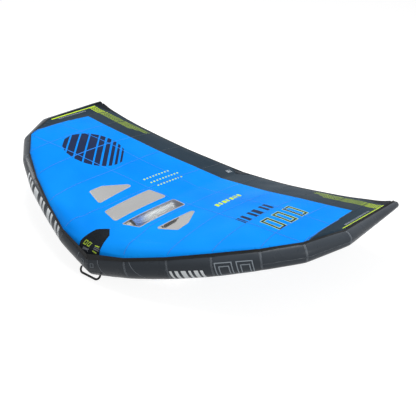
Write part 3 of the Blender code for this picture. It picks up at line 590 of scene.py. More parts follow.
def stepped(corners):
    """Points along a line with corners, without its last point."""
    points = []
    for start, end in zip(corners, corners[1:]):
        count = max(1, math.ceil(math.dist(start, end) / canopy_step))
        for index in range(count):
            share = index / count
            points.append((start[0] + (end[0] - start[0]) * share, start[1] + (end[1] - start[1]) * share))
    return points


def edge_run(start, end, stations, line):
    """Points on an edge line from x start to x end, with a point at each of its stations."""
    places = sorted({-x for x in stations} | set(stations) | {start, end})
    places = [x for x in places if min(start, end) <= x <= max(start, end)]
    if start > end:
        places.reverse()
    points = []
    for near, far in zip(places, places[1:]):
        count = max(1, math.ceil(math.dist((near, line(near)), (far, line(far))) / canopy_step))
        points += [(x, line(x)) for x in spread(near, far, count)[:-1]]
    return points + [(end, line(end))]


def plan_grid():
    """Places inside the canopy's outline, closer together near the leading edge."""
    points = []
    for x in spread(-half_span, half_span, math.ceil(2 * half_span / canopy_step))[1:-1]:
        start = front_line(x)
        chord = rear_line(x) - start
        points += [(x, start + chord * (row / canopy_rows) ** canopy_row_power)
                   for row in range(1, canopy_rows)]
    return points


def plan_triangles(loops):
    """Triangles of the plan; with each go the loops that it lies in."""
    points = []
    rings = []
    for loop in loops:
        rings.append(list(range(len(points), len(points) + len(loop))))
        points += loop
    tree = KDTree(len(points))
    for index, point in enumerate(points):
        tree.insert((*point, 0.0), index)
    tree.balance()
    points += [point for point in plan_grid() if tree.find((*point, 0.0))[2] > point_keep_off]
    result = delaunay_2d_cdt([Vector(point) for point in points], [], rings, 1, meeting_tolerance)
    return result[0], list(zip(result[2], result[5]))


def laid_sheet(maker, lift, thickness, zone_of):
    """A closed sheet on the canopy, of the plan's triangles that belong to it.

    zone_of turns the loops that a triangle lies in into the materials of its upper and lower
    side, or into nothing where the sheet isn't.
    """
    flat, triangles = plan
    weave_map = maker.loops.layers.uv.verify()
    sides = {}
    faces = []
    borders = {}
    for triangle, inside in triangles:
        zone = zone_of(set(inside))
        if zone is None:
            continue
        for index in triangle:
            if index not in sides:
                spots = [canopy_point(*flat[index], height) for height in (lift, lift - thickness)]
                sides[index] = [maker.verts.new(spot) for spot in spots]
        for side, material in enumerate(zone):
            order = triangle if side == 0 else triangle[::-1]
            faces.append((maker.faces.new([sides[index][side] for index in order]), material))
        for index in range(3):
            pair = (triangle[index], triangle[(index + 1) % 3])
            if pair[::-1] in borders:
                del borders[pair[::-1]]
            else:
                borders[pair] = zone[1]
    for (first, second), material in borders.items():
        corners = (sides[second][0], sides[first][0], sides[first][1], sides[second][1])
        faces.append((maker.faces.new(corners), material))
    for face, material in faces:
        face.material_index = material
        for loop in face.loops:
            loop[weave_map].uv = loop.vert.co.xy


window_corner_radius = 0.016
window_corner_steps = 6
window_tape_width = 0.008
inner_window_shares = ((0.0224, 0.1717), (0.1135, 0.1917), (0.1205, 0.4535), (0.0256, 0.471))
outer_window_shares = ((0.1878, 0.2212), (0.2897, 0.2478), (0.2846, 0.3115), (0.2051, 0.4368))
windows = [(f"{name}_{side_name(side)}", shares, side) for side in (1, -1)
           for name, shares in (("inner", inner_window_shares), ("outer", outer_window_shares))]


def rounded_loop(corners, radius):
    """A closed outline with rounded corners, running anticlockwise, with points every step."""
    points = []
    corners = [Vector(corner) for corner in corners]
    for index, corner in enumerate(corners):
        before = (corners[index - 1] - corner).normalized()
        after = (corners[(index + 1) % len(corners)] - corner).normalized()
        half = before.angle(after) / 2
        reach = radius / math.tan(half)
        centre = corner + (before + after).normalized() * radius / math.sin(half)
        start = corner + before * reach - centre
        end = corner + after * reach - centre
        for step in range(window_corner_steps + 1):
            spoke = start.lerp(end, step / window_corner_steps).normalized() * radius
            points.append((centre.x + spoke.x, centre.y + spoke.y))
    return stepped(points + points[:1])


def window_corners(shares, side, grow):
    """The corners of a window, moved outwards by a distance."""
    corners = [Vector((x * half_span, y * chord_length)) for x, y in shares]
    grown = []
    for index, corner in enumerate(corners):
        first = (corner - corners[index - 1]).normalized()
        second = (corners[(index + 1) % len(corners)] - corner).normalized()
        normals = [Vector((run.y, -run.x)) for run in (first, second)]
        middle = (normals[0] + normals[1]).normalized()
        moved = corner + middle * grow / middle.dot(normals[0])
        grown.append((side * moved.x, moved.y))
    return grown[::side]


def print_material(name, low, high, shine=0.03):
    return cloth_material(name, low, high, 0.45, shine=shine)


canopy_blue = cloth_material("canopy_blue", (0.001, 0.195, 0.74), (0.004, 0.265, 0.83), relief=0.12,
                             shine=0.02, cloud_scale=1.1)
band_cloth = cloth_material("band_cloth", (0.008, 0.020, 0.033), (0.014, 0.029, 0.045), relief=0.12,
                            shine=0.05, cloud_scale=1.1)
corner_cloth = cloth_material("corner_cloth", (0.006, 0.008, 0.011), (0.010, 0.013, 0.017), relief=0.12,
                              shine=0.03)
lime_print = print_material("lime_print", (0.50, 0.68, 0.03), (0.58, 0.77, 0.045))
faded_print = print_material("faded_print", (0.29, 0.41, 0.035), (0.35, 0.48, 0.05))
navy_print = print_material("navy_print", (0.008, 0.016, 0.050), (0.012, 0.022, 0.065))
pale_print = print_material("pale_print", (0.36, 0.40, 0.44), (0.44, 0.48, 0.52), 0.1)
canopy_materials = [canopy_blue, band_cloth, corner_cloth, lime_print, faded_print, navy_print, pale_print]
blue, dark, black, lime, faded, navy, pale = range(len(canopy_materials))

tip_x = tip_panel_share * half_span
front_points = edge_run(-half_span, half_span, front_x, front_line)
rear_points = edge_run(half_span, -half_span, rear_x + [tip_x], rear_line)
band_points = edge_run(-tip_x, tip_x, rear_x, band_line)
canopy_loops = [front_points + rear_points[1:-1],
                band_points + [point for point in rear_points if abs(point[0]) <= tip_x]]
for side in (1, -1):
    tip_front = edge_run(side * tip_x, side * half_span, front_x, front_line)
    tip_rear = edge_run(side * half_span, side * tip_x, rear_x, rear_line)
    tip_edge = stepped([(side * tip_x, rear_line(tip_x)), (side * tip_x, front_line(tip_x))])
    canopy_loops.append((tip_front + tip_rear[1:-1] + tip_edge)[::side])
dark_zones = set(range(1, len(canopy_loops)))
for name, shares, side in windows:
    canopy_loops.append(rounded_loop(window_corners(shares, side, half_gap), window_corner_radius))
window_zones = set(range(len(dark_zones) + 1, len(canopy_loops)))
window_tape_zones = {}
for name, shares, side in windows:
    window_tape_zones[name] = range(len(canopy_loops), len(canopy_loops) + 3)
    for grow in (-half_gap, window_tape_width / 2, -window_tape_width / 2):
        canopy_loops.append(rounded_loop(window_corners(shares, side, grow), window_corner_radius + grow))
prints = {}


def add_loop(outline):
    """Bound a zone of the plan, anticlockwise, and tell its number."""
    area = sum(a[0] * b[1] - b[0] * a[1] for a, b in zip(outline, outline[1:] + outline[:1]))
    points = outline if area > 0 else outline[::-1]
    canopy_loops.append(stepped(points + points[:1]))
    return len(canopy_loops) - 1


def add_print(outline, tone, side=1):
    """Print a zone of the canopy, bounded by an outline in the plan, on one side of the wing."""
    prints[add_loop([(side * x, y) for x, y in outline])] = tone


def slanted_bar(x, y, high, wide, lean):
    """A bar that is high along the span and wide along the chord, leaning back with height."""
    return [(x, y), (x, y + wide), (x - high, y + wide + lean), (x - high, y + lean)]


def print_row(x, y, high, lean, tone, marks):
    """A row of bars along the chord; marks has the width of each bar and the space after it."""
    for wide, space in marks:
        add_print(slanted_bar(x, y, high, wide, lean), tone)
        y += wide + space


def strip(start, end, width, offset=0.0):
    """A straight strip between two points in the plan, moved sideways by an offset."""
    run = (Vector(end) - Vector(start)).normalized()
    side_way = Vector((run.y, -run.x))
    return [tuple(Vector(place) + side_way * (offset + share * width))
            for place, share in ((start, -0.5), (end, -0.5), (end, 0.5), (start, 0.5))]


# The slanted hatch and the lines of the tips: rows from the inner end to the tip
hatch_inner = (0.90, 1.608, 1.748)
hatch_outer = (1.512, 1.5615, 1.652)
hatch_corner = (1.36, 1.722)
hatch_pitch = 0.0235
hatch_share = 0.45
hatch_growth_share = 0.1
hatch_rise_share = 0.76
hatch_bright_share = 0.75
hatch_start_shares = (0.16, 0.08, 0.0, 0.0)
tip_line = ((1.487, 1.056), (1.5275, 1.647))
tip_line_width = 0.010
tip_line_ease = (0.012, 0.008)
corner_reach = 0.02
corner_start = 1.29
corner_ease = 0.01
fine_line = ((1.4700, 1.125), (1.4885, 1.495))
fine_line_width = 0.0032
fine_line_space = 0.009
fine_dash = 0.02
fine_dash_step = 1.3 * fine_dash


def corner_outline():
    """The black corner behind the hatch, a little past the canopy's edge."""
    x, y = tip_line[1]
    ease_x, ease_y = tip_line_ease
    outer = half_span + corner_reach
    return [(x + ease_x, y + ease_y), (outer, y), (outer, rear_line(half_span) + corner_reach),
            (corner_start, rear_line(corner_start) + corner_ease),
            (hatch_corner[0], hatch_corner[1] + ease_x)]


def hatch_bars():
    """The bars of the hatch, row by row, each with its tone."""
    bars = []
    for row, start_share in enumerate(hatch_start_shares):
        for step in range(int((hatch_outer[0] - hatch_inner[0]) / hatch_pitch)):
            x = hatch_outer[0] - hatch_pitch * (step + 1)
            share = (x - hatch_inner[0]) / (hatch_outer[0] - hatch_inner[0])
            if share < start_share:
                continue
            low, high = (near + (far - near) * share for near, far in zip(hatch_inner[1:], hatch_outer[1:]))
            pitch = (high - low) / len(hatch_start_shares)
            y = low + pitch * row
            top = y + pitch * hatch_rise_share
            wide = hatch_pitch * (hatch_share + hatch_growth_share * share)
            bar = [(x + pitch, y), (x + pitch + wide, y), (x + wide, top), (x, top)]
            bars.append((bar, lime if share > hatch_bright_share else faded))
    return bars


for side in (1, -1):
    add_print(corner_outline(), black, side)
    add_print(strip(*tip_line, tip_line_width), lime, side)
    length = math.dist(*fine_line)
    for offset in (-fine_line_space / 2, fine_line_space / 2):
        for step in range(int(length / fine_dash_step)):
            shares = (step * fine_dash_step / length, (step * fine_dash_step + fine_dash) / length)
            ends = [tuple(Vector(fine_line[0]).lerp(Vector(fine_line[1]), share)) for share in shares]
            add_print(strip(*ends, fine_line_width, offset), pale, side)
    for bar, tone in hatch_bars():
        add_print(bar, tone, side)

# The navy and lime bars on the blue panels
stripe_centre = (-0.875, 0.98)
stripe_radius = 0.27
stripe_turn = math.radians(38.0)
stripe_marks = ((-0.262, 0.036), (-0.212, 0.060), (-0.138, 0.066), (-0.058, 0.070), (0.026, 0.046),
                (0.090, 0.036), (0.144, 0.028), (0.190, 0.022), (0.230, 0.018))
navy_row = (0.868, 0.760, 0.115, 0.035, navy,
            ((0.034, 0.022), (0.034, 0.05), (0.034, 0.022), (0.05, 0.05), (0.034, 0.022), (0.034, 0.0)))
frame_places = (0.775, 0.925, 1.075)
frame_bars = ((1.150, 0.0, 0.205, 0.098, 0.05, lime), (1.146, 0.005, 0.197, 0.089, 0.048, navy),
              (1.128, 0.026, 0.161, 0.054, 0.040, lime), (1.124, 0.031, 0.153, 0.044, 0.038, blue))
lime_row = (0.448, 1.000, 0.055, 0.022, lime,
            ((0.036, 0.014), (0.024, 0.02), (0.04, 0.012), (0.024, 0.024), (0.034, 0.014), (0.04, 0.016),
             (0.03, 0.0)))
dash_rows = ((-0.322, 1.000, 9), (-0.258, 1.015, 10), (-0.194, 1.030, 9))
dash_high = 0.014
dash_lean = 0.003
dash_mark = (0.018, 0.020)
hem_row = (-0.045, 1.838, 0.045, 0.012, pale, ((0.010, 0.008), (0.014, 0.016), (0.010, 0.0)))
for start, wide in stripe_marks:
    left, right = ((across, math.sqrt(stripe_radius ** 2 - across ** 2)) for across in (start, start + wide))
    outline = [(left[0], -left[1]), left, right, (right[0], -right[1])]
    cosine, sine = math.cos(stripe_turn), math.sin(stripe_turn)
    add_print([(stripe_centre[0] + x * cosine - y * sine, stripe_centre[1] + x * sine + y * cosine)
               for x, y in outline], navy)
print_row(*navy_row)
for place in frame_places:
    for x, y, high, wide, lean, tone in frame_bars:
        add_print(slanted_bar(x, place + y, high, wide, lean), tone)
print_row(*lime_row)
for x, y, count in dash_rows:
    print_row(x, y, dash_high, dash_lean, lime, (dash_mark,) * count)
print_row(*hem_row)

# The zones of the patches at the nose and at the tail, and of the labels on them
nose_patch_front = 0.105
nose_patch_rear = 0.066
nose_patch_shoulder = 0.18
nose_patch_length = 0.25
tail_patch_half = 0.117
tail_patch_length = 0.12
overshoot = 0.03
label_lean = 0.004
label_bars = ((-0.066, -0.040, 0.036, 0.068, 1), (-0.060, -0.045, 0.041, 0.063, 0),
              (-0.030, -0.006, 0.036, 0.068, 1), (-0.025, -0.011, 0.041, 0.063, 0),
              (-0.056, -0.004, 0.016, 0.025, 2), (0.036, 0.076, 0.054, 0.061, 1),
              (0.038, 0.088, 0.044, 0.049, 2), (0.039, 0.090, 0.034, 0.039, 2),
              (0.038, 0.078, 0.022, 0.027, 1))
tail_lines = (-0.028, 0.0, 0.028)
tail_line_half = 0.03
tail_line_front = 0.036
tail_line_rear = 0.096
tail_line_width = 0.004
nose_half = [(nose_patch_front, -overshoot), (nose_patch_front, front_line(nose_patch_front)),
             (nose_patch_rear, nose_patch_shoulder), (0.0, nose_patch_length)]
nose_zone = add_loop(nose_half + [(-x, y) for x, y in reversed(nose_half[:-1])])
tail_front = rear_line(0.0) - tail_patch_length
tail_reach = tail_patch_half + overshoot
tail_rear = tail_front + (rear_line(tail_patch_half) - tail_front) / tail_patch_half * tail_reach
tail_zone = add_loop([(0.0, tail_front), (tail_reach, tail_rear), (-tail_reach, tail_rear)])
labels = {}
for low, high, front, rear, tone in label_bars:
    outline = [(low, front), (high, front), (high + label_lean, rear), (low + label_lean, rear)]
    labels[add_loop(outline)] = tone
for x in tail_lines:
    start = (x - tail_line_half, tail_front + tail_line_front)
    end = (x + tail_line_half, tail_front + tail_line_rear)
    labels[add_loop(strip(start, end, tail_line_width))] = 1


def canopy_zone(inside):
    if 0 not in inside or window_zones & inside:
        return None
    zone = dark if dark_zones & inside else blue
    marks = prints.keys() & inside
    return (prints[max(marks)] if marks else zone), zone


plan = plan_triangles(canopy_loops)
canopy_maker = bmesh.new()
laid_sheet(canopy_maker, 0.0, cloth, canopy_zone)
canopy_area = sum(face.calc_area() for face in canopy_maker.faces) / 2
canopy_nodes = [f"canopy_{panel}_{side}" for panel in ("inner", "middle", "outer", "band", "tip")
                for side in ("left", "right")]
canopy = make_piece("canopy", canopy_maker, canopy_materials, "canopy_blue", canopy_nodes)

# Windows
# Four panes of clear flexible film in the canopy, so that the rider sees through it. A narrow
# pale tape is sewn round each pane.
film = 0.0008
film_set = 0.0002
tape_thickness = 0.0005
tape_lift = 0.0006
ripple_depth = 0.01
tape_cloth = cloth_material("tape_cloth", (0.36, 0.34, 0.30), (0.44, 0.42, 0.37), 0.6, 0.2, shine=0.1)


def film_and_painted_shade_material():
    """Rippling film that lets light through; its grey tint is partly its own and partly painted shade from
    under the wing.
    """
    material, tree, shader, place = new_material("window_film")
    ripple = uneven(tree, place["Object"], 7.0)
    # The base colour's grey is partly the film's own tint and partly painted shade of the floor under the
    # wing, seen through it.
    feed(tree, shader, {
        "Base Color": two_tones(tree, place["Object"], 1.6, (0.50, 0.50, 0.495), (0.55, 0.55, 0.545)),
        "Normal": add_node(tree, "ShaderNodeBump", Strength=0.05, Distance=ripple_depth, Height=ripple),
        "Transmission Weight": 1.0, "Roughness": 0.06, "IOR": 1.2})
    path = add_node(tree, "ShaderNodeLightPath").outputs
    through = add_node(tree, "ShaderNodeBsdfTransparent", (0.86, 0.86, 0.85, 1.0))
    mix = add_node(tree, "ShaderNodeMixShader", path["Is Shadow Ray"], shader, through)
    feed(tree, tree.nodes["Material Output"], {"Surface": mix})
    return material


window_film = film_and_painted_shade_material()


def laid_piece(name, materials, slot, lift, thickness, zone_of, *stands_for):
    maker = bmesh.new()
    laid_sheet(maker, lift, thickness, zone_of)
    return make_piece(name, maker, materials, slot, stands_for)


for name, shares, side in windows:
    pane, outer, inner = window_tape_zones[name]
    laid_piece(f"window_film_{name}", [window_film], "window_film", -film_set, film,
               lambda inside: (0, 0) if pane in inside else None, f"window_{name}")
    laid_piece(f"window_tape_{name}", [tape_cloth], "neck_beige", tape_lift, tape_thickness,
               lambda inside: (0, 0) if outer in inside and inner not in inside else None)

# Patches on the centre line
# Doubled strong cloth sewn over the canopy at the nose and at the trailing edge, where the load
# of the strut and of the leading edge comes in.
patch_lift = 0.0014
patch_thickness = 0.0012
patch_cloth = cloth_material("patch_cloth", (0.006, 0.008, 0.011), (0.010, 0.013, 0.017), 0.6, 0.5, 500.0,
                             0.03)
tail_cloth = cloth_material("tail_cloth", (0.010, 0.015, 0.021), (0.016, 0.022, 0.029), 0.6, 0.5, 500.0, 0.03)
label_grey = cloth_material("label_grey", (0.09, 0.10, 0.12), (0.12, 0.13, 0.15), shine=0.1)


def patch_zone(zone):
    """The patch's own zone, with its labels."""
    def zone_of(inside):
        if zone not in inside or 0 not in inside:
            return None
        marks = labels.keys() & inside
        return (labels[max(marks)] if marks else 0), 0
    return zone_of


laid_piece("nose_reinforcement", [patch_cloth, faded_print, label_grey], "webbing_black", patch_lift,
           patch_thickness, patch_zone(nose_zone), "nose_patch")
laid_piece("tail_reinforcement", [tail_cloth, label_grey], "band_slate", patch_lift, patch_thickness,
           patch_zone(tail_zone), "tail_patch")

# Binding of the leading edge joint
# A black tape folded over the canopy's front edge and sewn down to the casing.
binding_width = 0.009
binding_steps = 24
binding_rise = 0.0016
binding_rear_share = 0.45
binding_front = ((1.0, 0.0002), (1.0, 0.0016), (0.55, 0.0035))
binding_fold = (0.55, 0.0012)
binding_top = 0.0004
binding_rear_lift = 0.0003
binding_end_shares = (0.002, 0.999)
fold_degrees = 60.0
webbing = cloth_material("webbing", (0.008, 0.009, 0.010), (0.018, 0.019, 0.021), 0.62, 0.9, 420.0)


def binding_ring(spot):
    """Section of the tape: on the casing in front, over the canopy's edge, and on the canopy behind it."""
    spoke = spot.joint - spot.centre
    start = math.atan2(spoke.dot(spot.up), spoke.dot(spot.out))
    back = Vector((-spot.heading.y, spot.heading.x, 0.0)).normalized()
    rear = spot.joint + back * binding_width * binding_rear_share

    def on_casing(turn, reach):
        direction = turned(spot.out, spot.up, start - turn * binding_width / spot.radius)
        return spot.centre + (spot.radius + sleeve_swell + reach) * direction

    lifts = ((spot.joint, binding_rise + binding_top), (rear, binding_rise), (rear, binding_rear_lift),
             (spot.joint, binding_top))
    behind = [canopy_point(place.x, place.y, lift) for place, lift in lifts]
    return [on_casing(*turn) for turn in binding_front] + behind + [on_casing(*binding_fold)]


first_share, last_share = binding_end_shares
spots = [between(near, far, share) for near, far in zip(tube, tube[1:])
         for share in spread(0.0, 1.0, binding_steps)[:-1]]
spots = [between(*tube[:2], first_share)] + spots[1:] + [between(*tube[-2:], last_share)]
for side in (1, -1):
    rings = [mirrored(binding_ring(spot), side) for spot in spots]
    skin_piece(f"binding_{side_name(side)}", [rings], webbing, "webbing_black",
               f"canopy_binding_{side_name(side)}", sharp=fold_degrees)

# Trailing edge hem
# The canopy's rear edge is folded into a black tape with a thin line inside it.
hem_width = 0.012
hem_height = 0.003
hem_sides = 10
hem_power = 0.6


def hem_ring(x, y):
    """Section of the hem, a flattened round behind the canopy's edge."""
    middle = canopy_height(x, y) - cloth / 2
    ring = []
    for index in range(hem_sides):
        across, rise = turned(Vector((1.0, 0.0)), Vector((0.0, 1.0)), math.tau * index / hem_sides)
        rise = math.copysign(abs(rise) ** hem_power, rise)
        ring.append(Vector((x, y + hem_width * (0.5 + 0.5 * across), middle + rise * hem_height / 2)))
    return ring


for side in (1, -1):
    line = edge_run(seam_gap, half_span - tube[-1].radius, rear_x, rear_line)
    skin_piece(f"hem_{side_name(side)}", [[mirrored(hem_ring(x, y), side) for x, y in line]], webbing,
               "webbing_black", f"trailing_hem_{side_name(side)}", sharp=fold_degrees)

# Strut
# A round air-filled tube under the canopy's centre seam. Its pale neck is cut against the leading
# edge, a dark collar joins it to the sleeve, and the tail and its cap are dark strong cloth.
strut_radius = 0.1
strut_waist_radius = 0.068
strut_seat = 0.0006
saddle_gap = 0.0015
neck_end = 0.43
collar_end = 0.46
waist_end = 1.27
strut_end = 1.9
cap_depth = 0.03
strut_sides = 64
strut_step = 0.03
row_count = 14
halvings = 40
saddle_tries = 12
fade_start = 0.50
fade_end = 0.68
streak_scales = (9.0, 2.0, 9.0)
streak_reach = 0.09
faded_sleeve = (0.88, 0.94, 0.98, 1.0)
neck_cloth = cloth_material("neck_cloth", (0.72, 0.70, 0.66), (0.82, 0.79, 0.75), 0.6, 0.2, 800.0)
collar_cloth = cloth_material("collar_cloth", (0.018, 0.024, 0.032), (0.028, 0.035, 0.045), relief=0.4,
                              threads=600.0)
strut_tail_cloth = cloth_material("strut_tail_cloth", (0.024, 0.032, 0.042), (0.036, 0.046, 0.058),
                                  relief=0.4, threads=600.0)
sleeve_side_cloth = cloth_material("sleeve_side_cloth", (0.014, 0.022, 0.033), (0.026, 0.038, 0.052), 0.45,
                                   0.3, 700.0)


def sleeve_top_material():
    """Blue cloth that fades to nearly white behind its first hand's breadths, with soft streaks."""
    material = cloth_material("sleeve_top_cloth", (0.14, 0.30, 0.78), (0.18, 0.36, 0.85), 0.4, 0.15, 800.0)
    tree = material.node_tree
    shader = tree.nodes["Principled BSDF"]
    base = shader.inputs["Base Color"].links[0].from_socket
    place = add_node(tree, "ShaderNodeTexCoord").outputs["Object"]
    parts = add_node(tree, "ShaderNodeSeparateXYZ", place).outputs
    stretch = add_node(tree, "ShaderNodeMapping", place, Scale=streak_scales)
    shifted = maths(tree, "ADD", parts["Y"], uneven(tree, stretch, 1.0, -streak_reach, streak_reach))
    fade = add_node(tree, "ShaderNodeMapRange", shifted, fade_start + wing_place.y, fade_end + wing_place.y,
                    interpolation_type="SMOOTHSTEP")
    mix = add_node(tree, "ShaderNodeMix", data_type="RGBA", Factor=fade, A=base, B=faded_sleeve)
    feed(tree, shader, {"Base Color": mix})
    return material


sleeve_top_cloth = sleeve_top_material()
centre_rows = [chord_length * (row / row_count) ** canopy_row_power for row in range(row_count + 1)]
centre_heights = [canopy_height(0.0, row) for row in centre_rows]


def centre_top(y):
    """Underside of the canopy's centre seam, less the seat of the strut."""
    return min(along(centre_rows, centre_heights, y), canopy_height(0.0, y)) - cloth - strut_seat


strut_tail_radius = (centre_top(strut_end) - tube[0].centre.z + nose_radius) / 2


def strut_size(y):
    """Height of the strut's axis and its radius."""
    if y <= waist_end:
        share = limited((y - collar_end) / (waist_end - collar_end)) ** 2
        radius = strut_radius + (strut_waist_radius - strut_radius) * share
    else:
        share = min((y - waist_end) / (strut_end - waist_end), 1.0)
        radius = strut_waist_radius + (strut_tail_radius - strut_waist_radius) * share
    return centre_top(y) - radius, radius


def strut_point(y, angle, extra=0.0):
    height, radius = strut_size(y)
    return Vector(((radius + extra) * math.cos(angle), y, height + (radius + extra) * math.sin(angle)))


def strut_circle(y, height, radius):
    """A ring round the strut's axis, from its top to the left."""
    top, left = Vector((0.0, 0.0, 1.0)), Vector((-1.0, 0.0, 0.0))
    return circle(Vector((0.0, y, height)), top, left, radius, strut_sides)


def strut_ring(y, extra):
    height, radius = strut_size(y)
    return strut_circle(y, height, radius + extra)


def behind_tube(x, z, clearance):
    """How far back the leading edge tube reaches at a given x and height."""
    start = tube[0].centre
    run = (tube[1].centre - start).normalized()
    low = start.y
    high = start.y + nose_radius + neck_end
    for _ in range(halvings):
        middle = (low + high) / 2
        spot = Vector((abs(x), middle, z)) - start
        if (spot - run * spot.dot(run)).length > nose_radius + sleeve_swell + clearance:
            high = middle
        else:
            low = middle
    return high


def saddle_ring(extra):
    """The strut's front edge, cut to lie against the leading edge tube."""
    points = []
    for index in range(strut_sides):
        angle = math.pi / 2 + math.tau * index / strut_sides
        y = neck_end
        for _ in range(saddle_tries):
            spot = strut_point(max(y, neck_end / 4), angle, extra)
            y = behind_tube(spot.x, spot.z, saddle_gap)
        spot = strut_point(max(y, neck_end / 4), angle, extra)
        points.append(Vector((spot.x, y, spot.z)))
    return points


def strut_rows(start, end):
    return spread(start, end, math.ceil((end - start) / strut_step))


def strut_sleeve(name, rows, materials, slot, node, front=None):
    """A sleeve of the strut; a second material goes below the strut's axis."""
    outer = [strut_ring(y, 0.0) for y in rows]
    inner = [strut_ring(y, -casing_wall) for y in reversed(rows)]
    if front:
        outer_blend, inner_blend = (
            [a.lerp(b, 0.5) for a, b in zip(*pair)] for pair in zip(front, (outer[0], inner[-1])))
        outer = [front[0], outer_blend] + outer
        inner = inner + [inner_blend, front[1]]
    maker = bmesh.new()
    faces = skin(maker, outer + inner, wrap=True)
    bmesh.ops.recalc_face_normals(maker, faces=maker.faces)
    if len(materials) > 1:
        for face in faces:
            middle = face.calc_center_median()
            face.material_index = 0 if middle.z > strut_size(middle.y)[0] else 1
    return make_piece(name, maker, materials, slot, [node])


def strut_cup_ring(turn, wall):
    height, radius = strut_size(strut_end)
    y = strut_end + half_gap + (cap_depth - wall) * math.sin(turn)
    return strut_circle(y, height, (radius - wall) * math.cos(turn))


saddle = (saddle_ring(0.0), saddle_ring(-casing_wall))
rearmost = max(point.y for point in saddle[0])
strut_sleeve("strut_neck_sleeve", strut_rows(rearmost + strut_step, neck_end - half_gap), [neck_cloth],
             "neck_beige", "strut_neck", saddle)
strut_sleeve("strut_collar_band", [neck_end + half_gap, collar_end - half_gap], [collar_cloth], "band_slate",
             "strut_collar")
strut_sleeve("strut_sleeve", strut_rows(collar_end + half_gap, waist_end - half_gap),
             [sleeve_top_cloth, sleeve_side_cloth], "canopy_blue", "strut_casing")
strut_sleeve("strut_tail_sleeve", strut_rows(waist_end + half_gap, strut_end - half_gap), [strut_tail_cloth],
             "band_slate", "strut_tail")
skin_piece("strut_end_cup", [cup(strut_cup_ring)], cap_cloth, "webbing_black", "strut_end_cap")

# Handles
# Each is a webbing strap on a stiff patch round the strut's underside, with a foam grip on it.
handle_starts = (("front", 0.5), ("rear", 0.84))
handle_length = 0.22
handle_drop = 0.05
handle_corner = 0.03
strap_radius = 0.0065
strap_sides = 24
strap_corner_steps = 12
strap_end_degrees = (25.0, 45.0, 65.0, 84.0)
hinge_gap = 0.0005
patch_margin = 0.03
patch_wall = 0.002
patch_half_turn = math.radians(36.0)
patch_steps = 16
grip_radius = 0.015
grip_length = 0.14
grip_sides = 40
grip_ribs = 14
grip_groove = 0.0011
grip_edge = 0.004
grip_bevel = 0.0015
grip_groove_share = 0.2
grip_foam = cloth_material("grip_foam", (0.012, 0.012, 0.013), (0.022, 0.022, 0.024), 0.8, 0.5, 260.0)


def headings(path):
    """The direction of a path at each of its points."""
    points = [Vector(point) for point in path]
    neighbours = zip(points[:1] + points, points[1:] + points[-1:])
    return [(after - before).normalized() for before, after in neighbours]


def rounded_path(start, end, drop, corner, down):
    """A U from start to end: down by drop, round the corners and straight across."""
    run = (end - start).normalized()
    points = [start.copy()]
    for corner_point, first, second in ((start + down * drop, -down, run), (end + down * drop, -run, -down)):
        centre = corner_point + (first + second) * corner
        points += [centre - corner * turned(second, first, turn)
                   for turn in spread(0.0, math.pi / 2, strap_corner_steps)]
    return points + [end.copy()]


def strap_rings(path):
    """Rings of a round strap along a path in a plane across the span, with rounded ends."""
    across = Vector((1.0, 0.0, 0.0))
    runs = headings(path)
    ups = [run.cross(across).normalized() for run in runs]
    ends = []
    for index, outward in ((0, -runs[0]), (-1, runs[-1])):
        for turn in map(math.radians, strap_end_degrees):
            middle = path[index] + outward * strap_radius * math.sin(turn)
            ends.append(circle(middle, across, ups[index], strap_radius * math.cos(turn), strap_sides))
    rings = [circle(point, across, up, strap_radius, strap_sides) for point, up in zip(path, ups)]
    count = len(strap_end_degrees)
    return ends[:count][::-1] + rings + ends[count:]


def grip_profile():
    """Places along the grip and its radius there, from bore to bore over its ribs."""
    bore = strap_radius + seam_gap
    half = grip_length / 2
    pitch = (grip_length - 2 * grip_edge) / grip_ribs
    start = [(half, bore), (half, grip_radius - grip_edge), (half - grip_bevel, grip_radius - grip_bevel)]
    profile = [(-place, radius) for place, radius in start]
    for rib in range(grip_ribs):
        low = grip_edge - half + pitch * rib
        profile += [(low, grip_radius - grip_groove), (low + pitch * grip_groove_share, grip_radius),
                    (low + pitch * (1.0 - grip_groove_share), grip_radius)]
    return profile + [(half - grip_edge, grip_radius - grip_groove)] + start[::-1]


def handle_base_ring(y):
    """Section of the stiff patch: on the strut's underside, and back along its outside."""
    turns = spread(-math.pi / 2 - patch_half_turn, -math.pi / 2 + patch_half_turn, patch_steps)
    inner = [strut_point(y, turn, seam_gap) for turn in turns]
    return inner + [strut_point(y, turn, seam_gap + patch_wall) for turn in turns[::-1]]


for place, start_y in handle_starts:
    end_y = start_y + handle_length
    body = f"{place}_handle"
    start, end = (strut_point(y, -math.pi / 2, seam_gap + patch_wall + hinge_gap + strap_radius)
                  for y in (start_y, end_y))
    start.x = end.x = 0.0
    run = (end - start).normalized()
    across = Vector((1.0, 0.0, 0.0))
    down = Vector((0.0, run.z, -run.y))
    middle = (start + end) / 2 + down * handle_drop
    path = rounded_path(start, end, handle_drop, handle_corner, down)
    skin_piece(f"{place}_strap", [strap_rings(path)], webbing, "webbing_black", f"{body}_strap", body=body)
    rings = [circle(middle + run * spot, across, run.cross(across).normalized(), size, grip_sides)
             for spot, size in grip_profile()]
    skin_piece(f"{place}_grip", [rings], grip_foam, "grip_foam", f"{body}_grip", wrap=True, body=body,
               sharp=fold_degrees)
    rings = [handle_base_ring(y) for y in strut_rows(start_y - patch_margin, end_y + patch_margin)]
    skin_piece(f"{place}_handle_base", [rings], patch_cloth, "webbing_black", f"{body}_patch")

# Nose strap
# A loop of folded webbing under the nose, sewn to the casing at both ends, by which the wing is
# held on land. Its fold makes it wider than it is thick.
nose_strap_half = 0.085
nose_strap_drop = 0.042
nose_strap_corner = 0.032
nose_strap_turn = math.radians(-38.0)
nose_strap_lean = math.radians(50.0)
nose_strap_high = 0.0085
nose_strap_thick = 0.0055
nose_strap_end_shares = (0.75, 0.3)


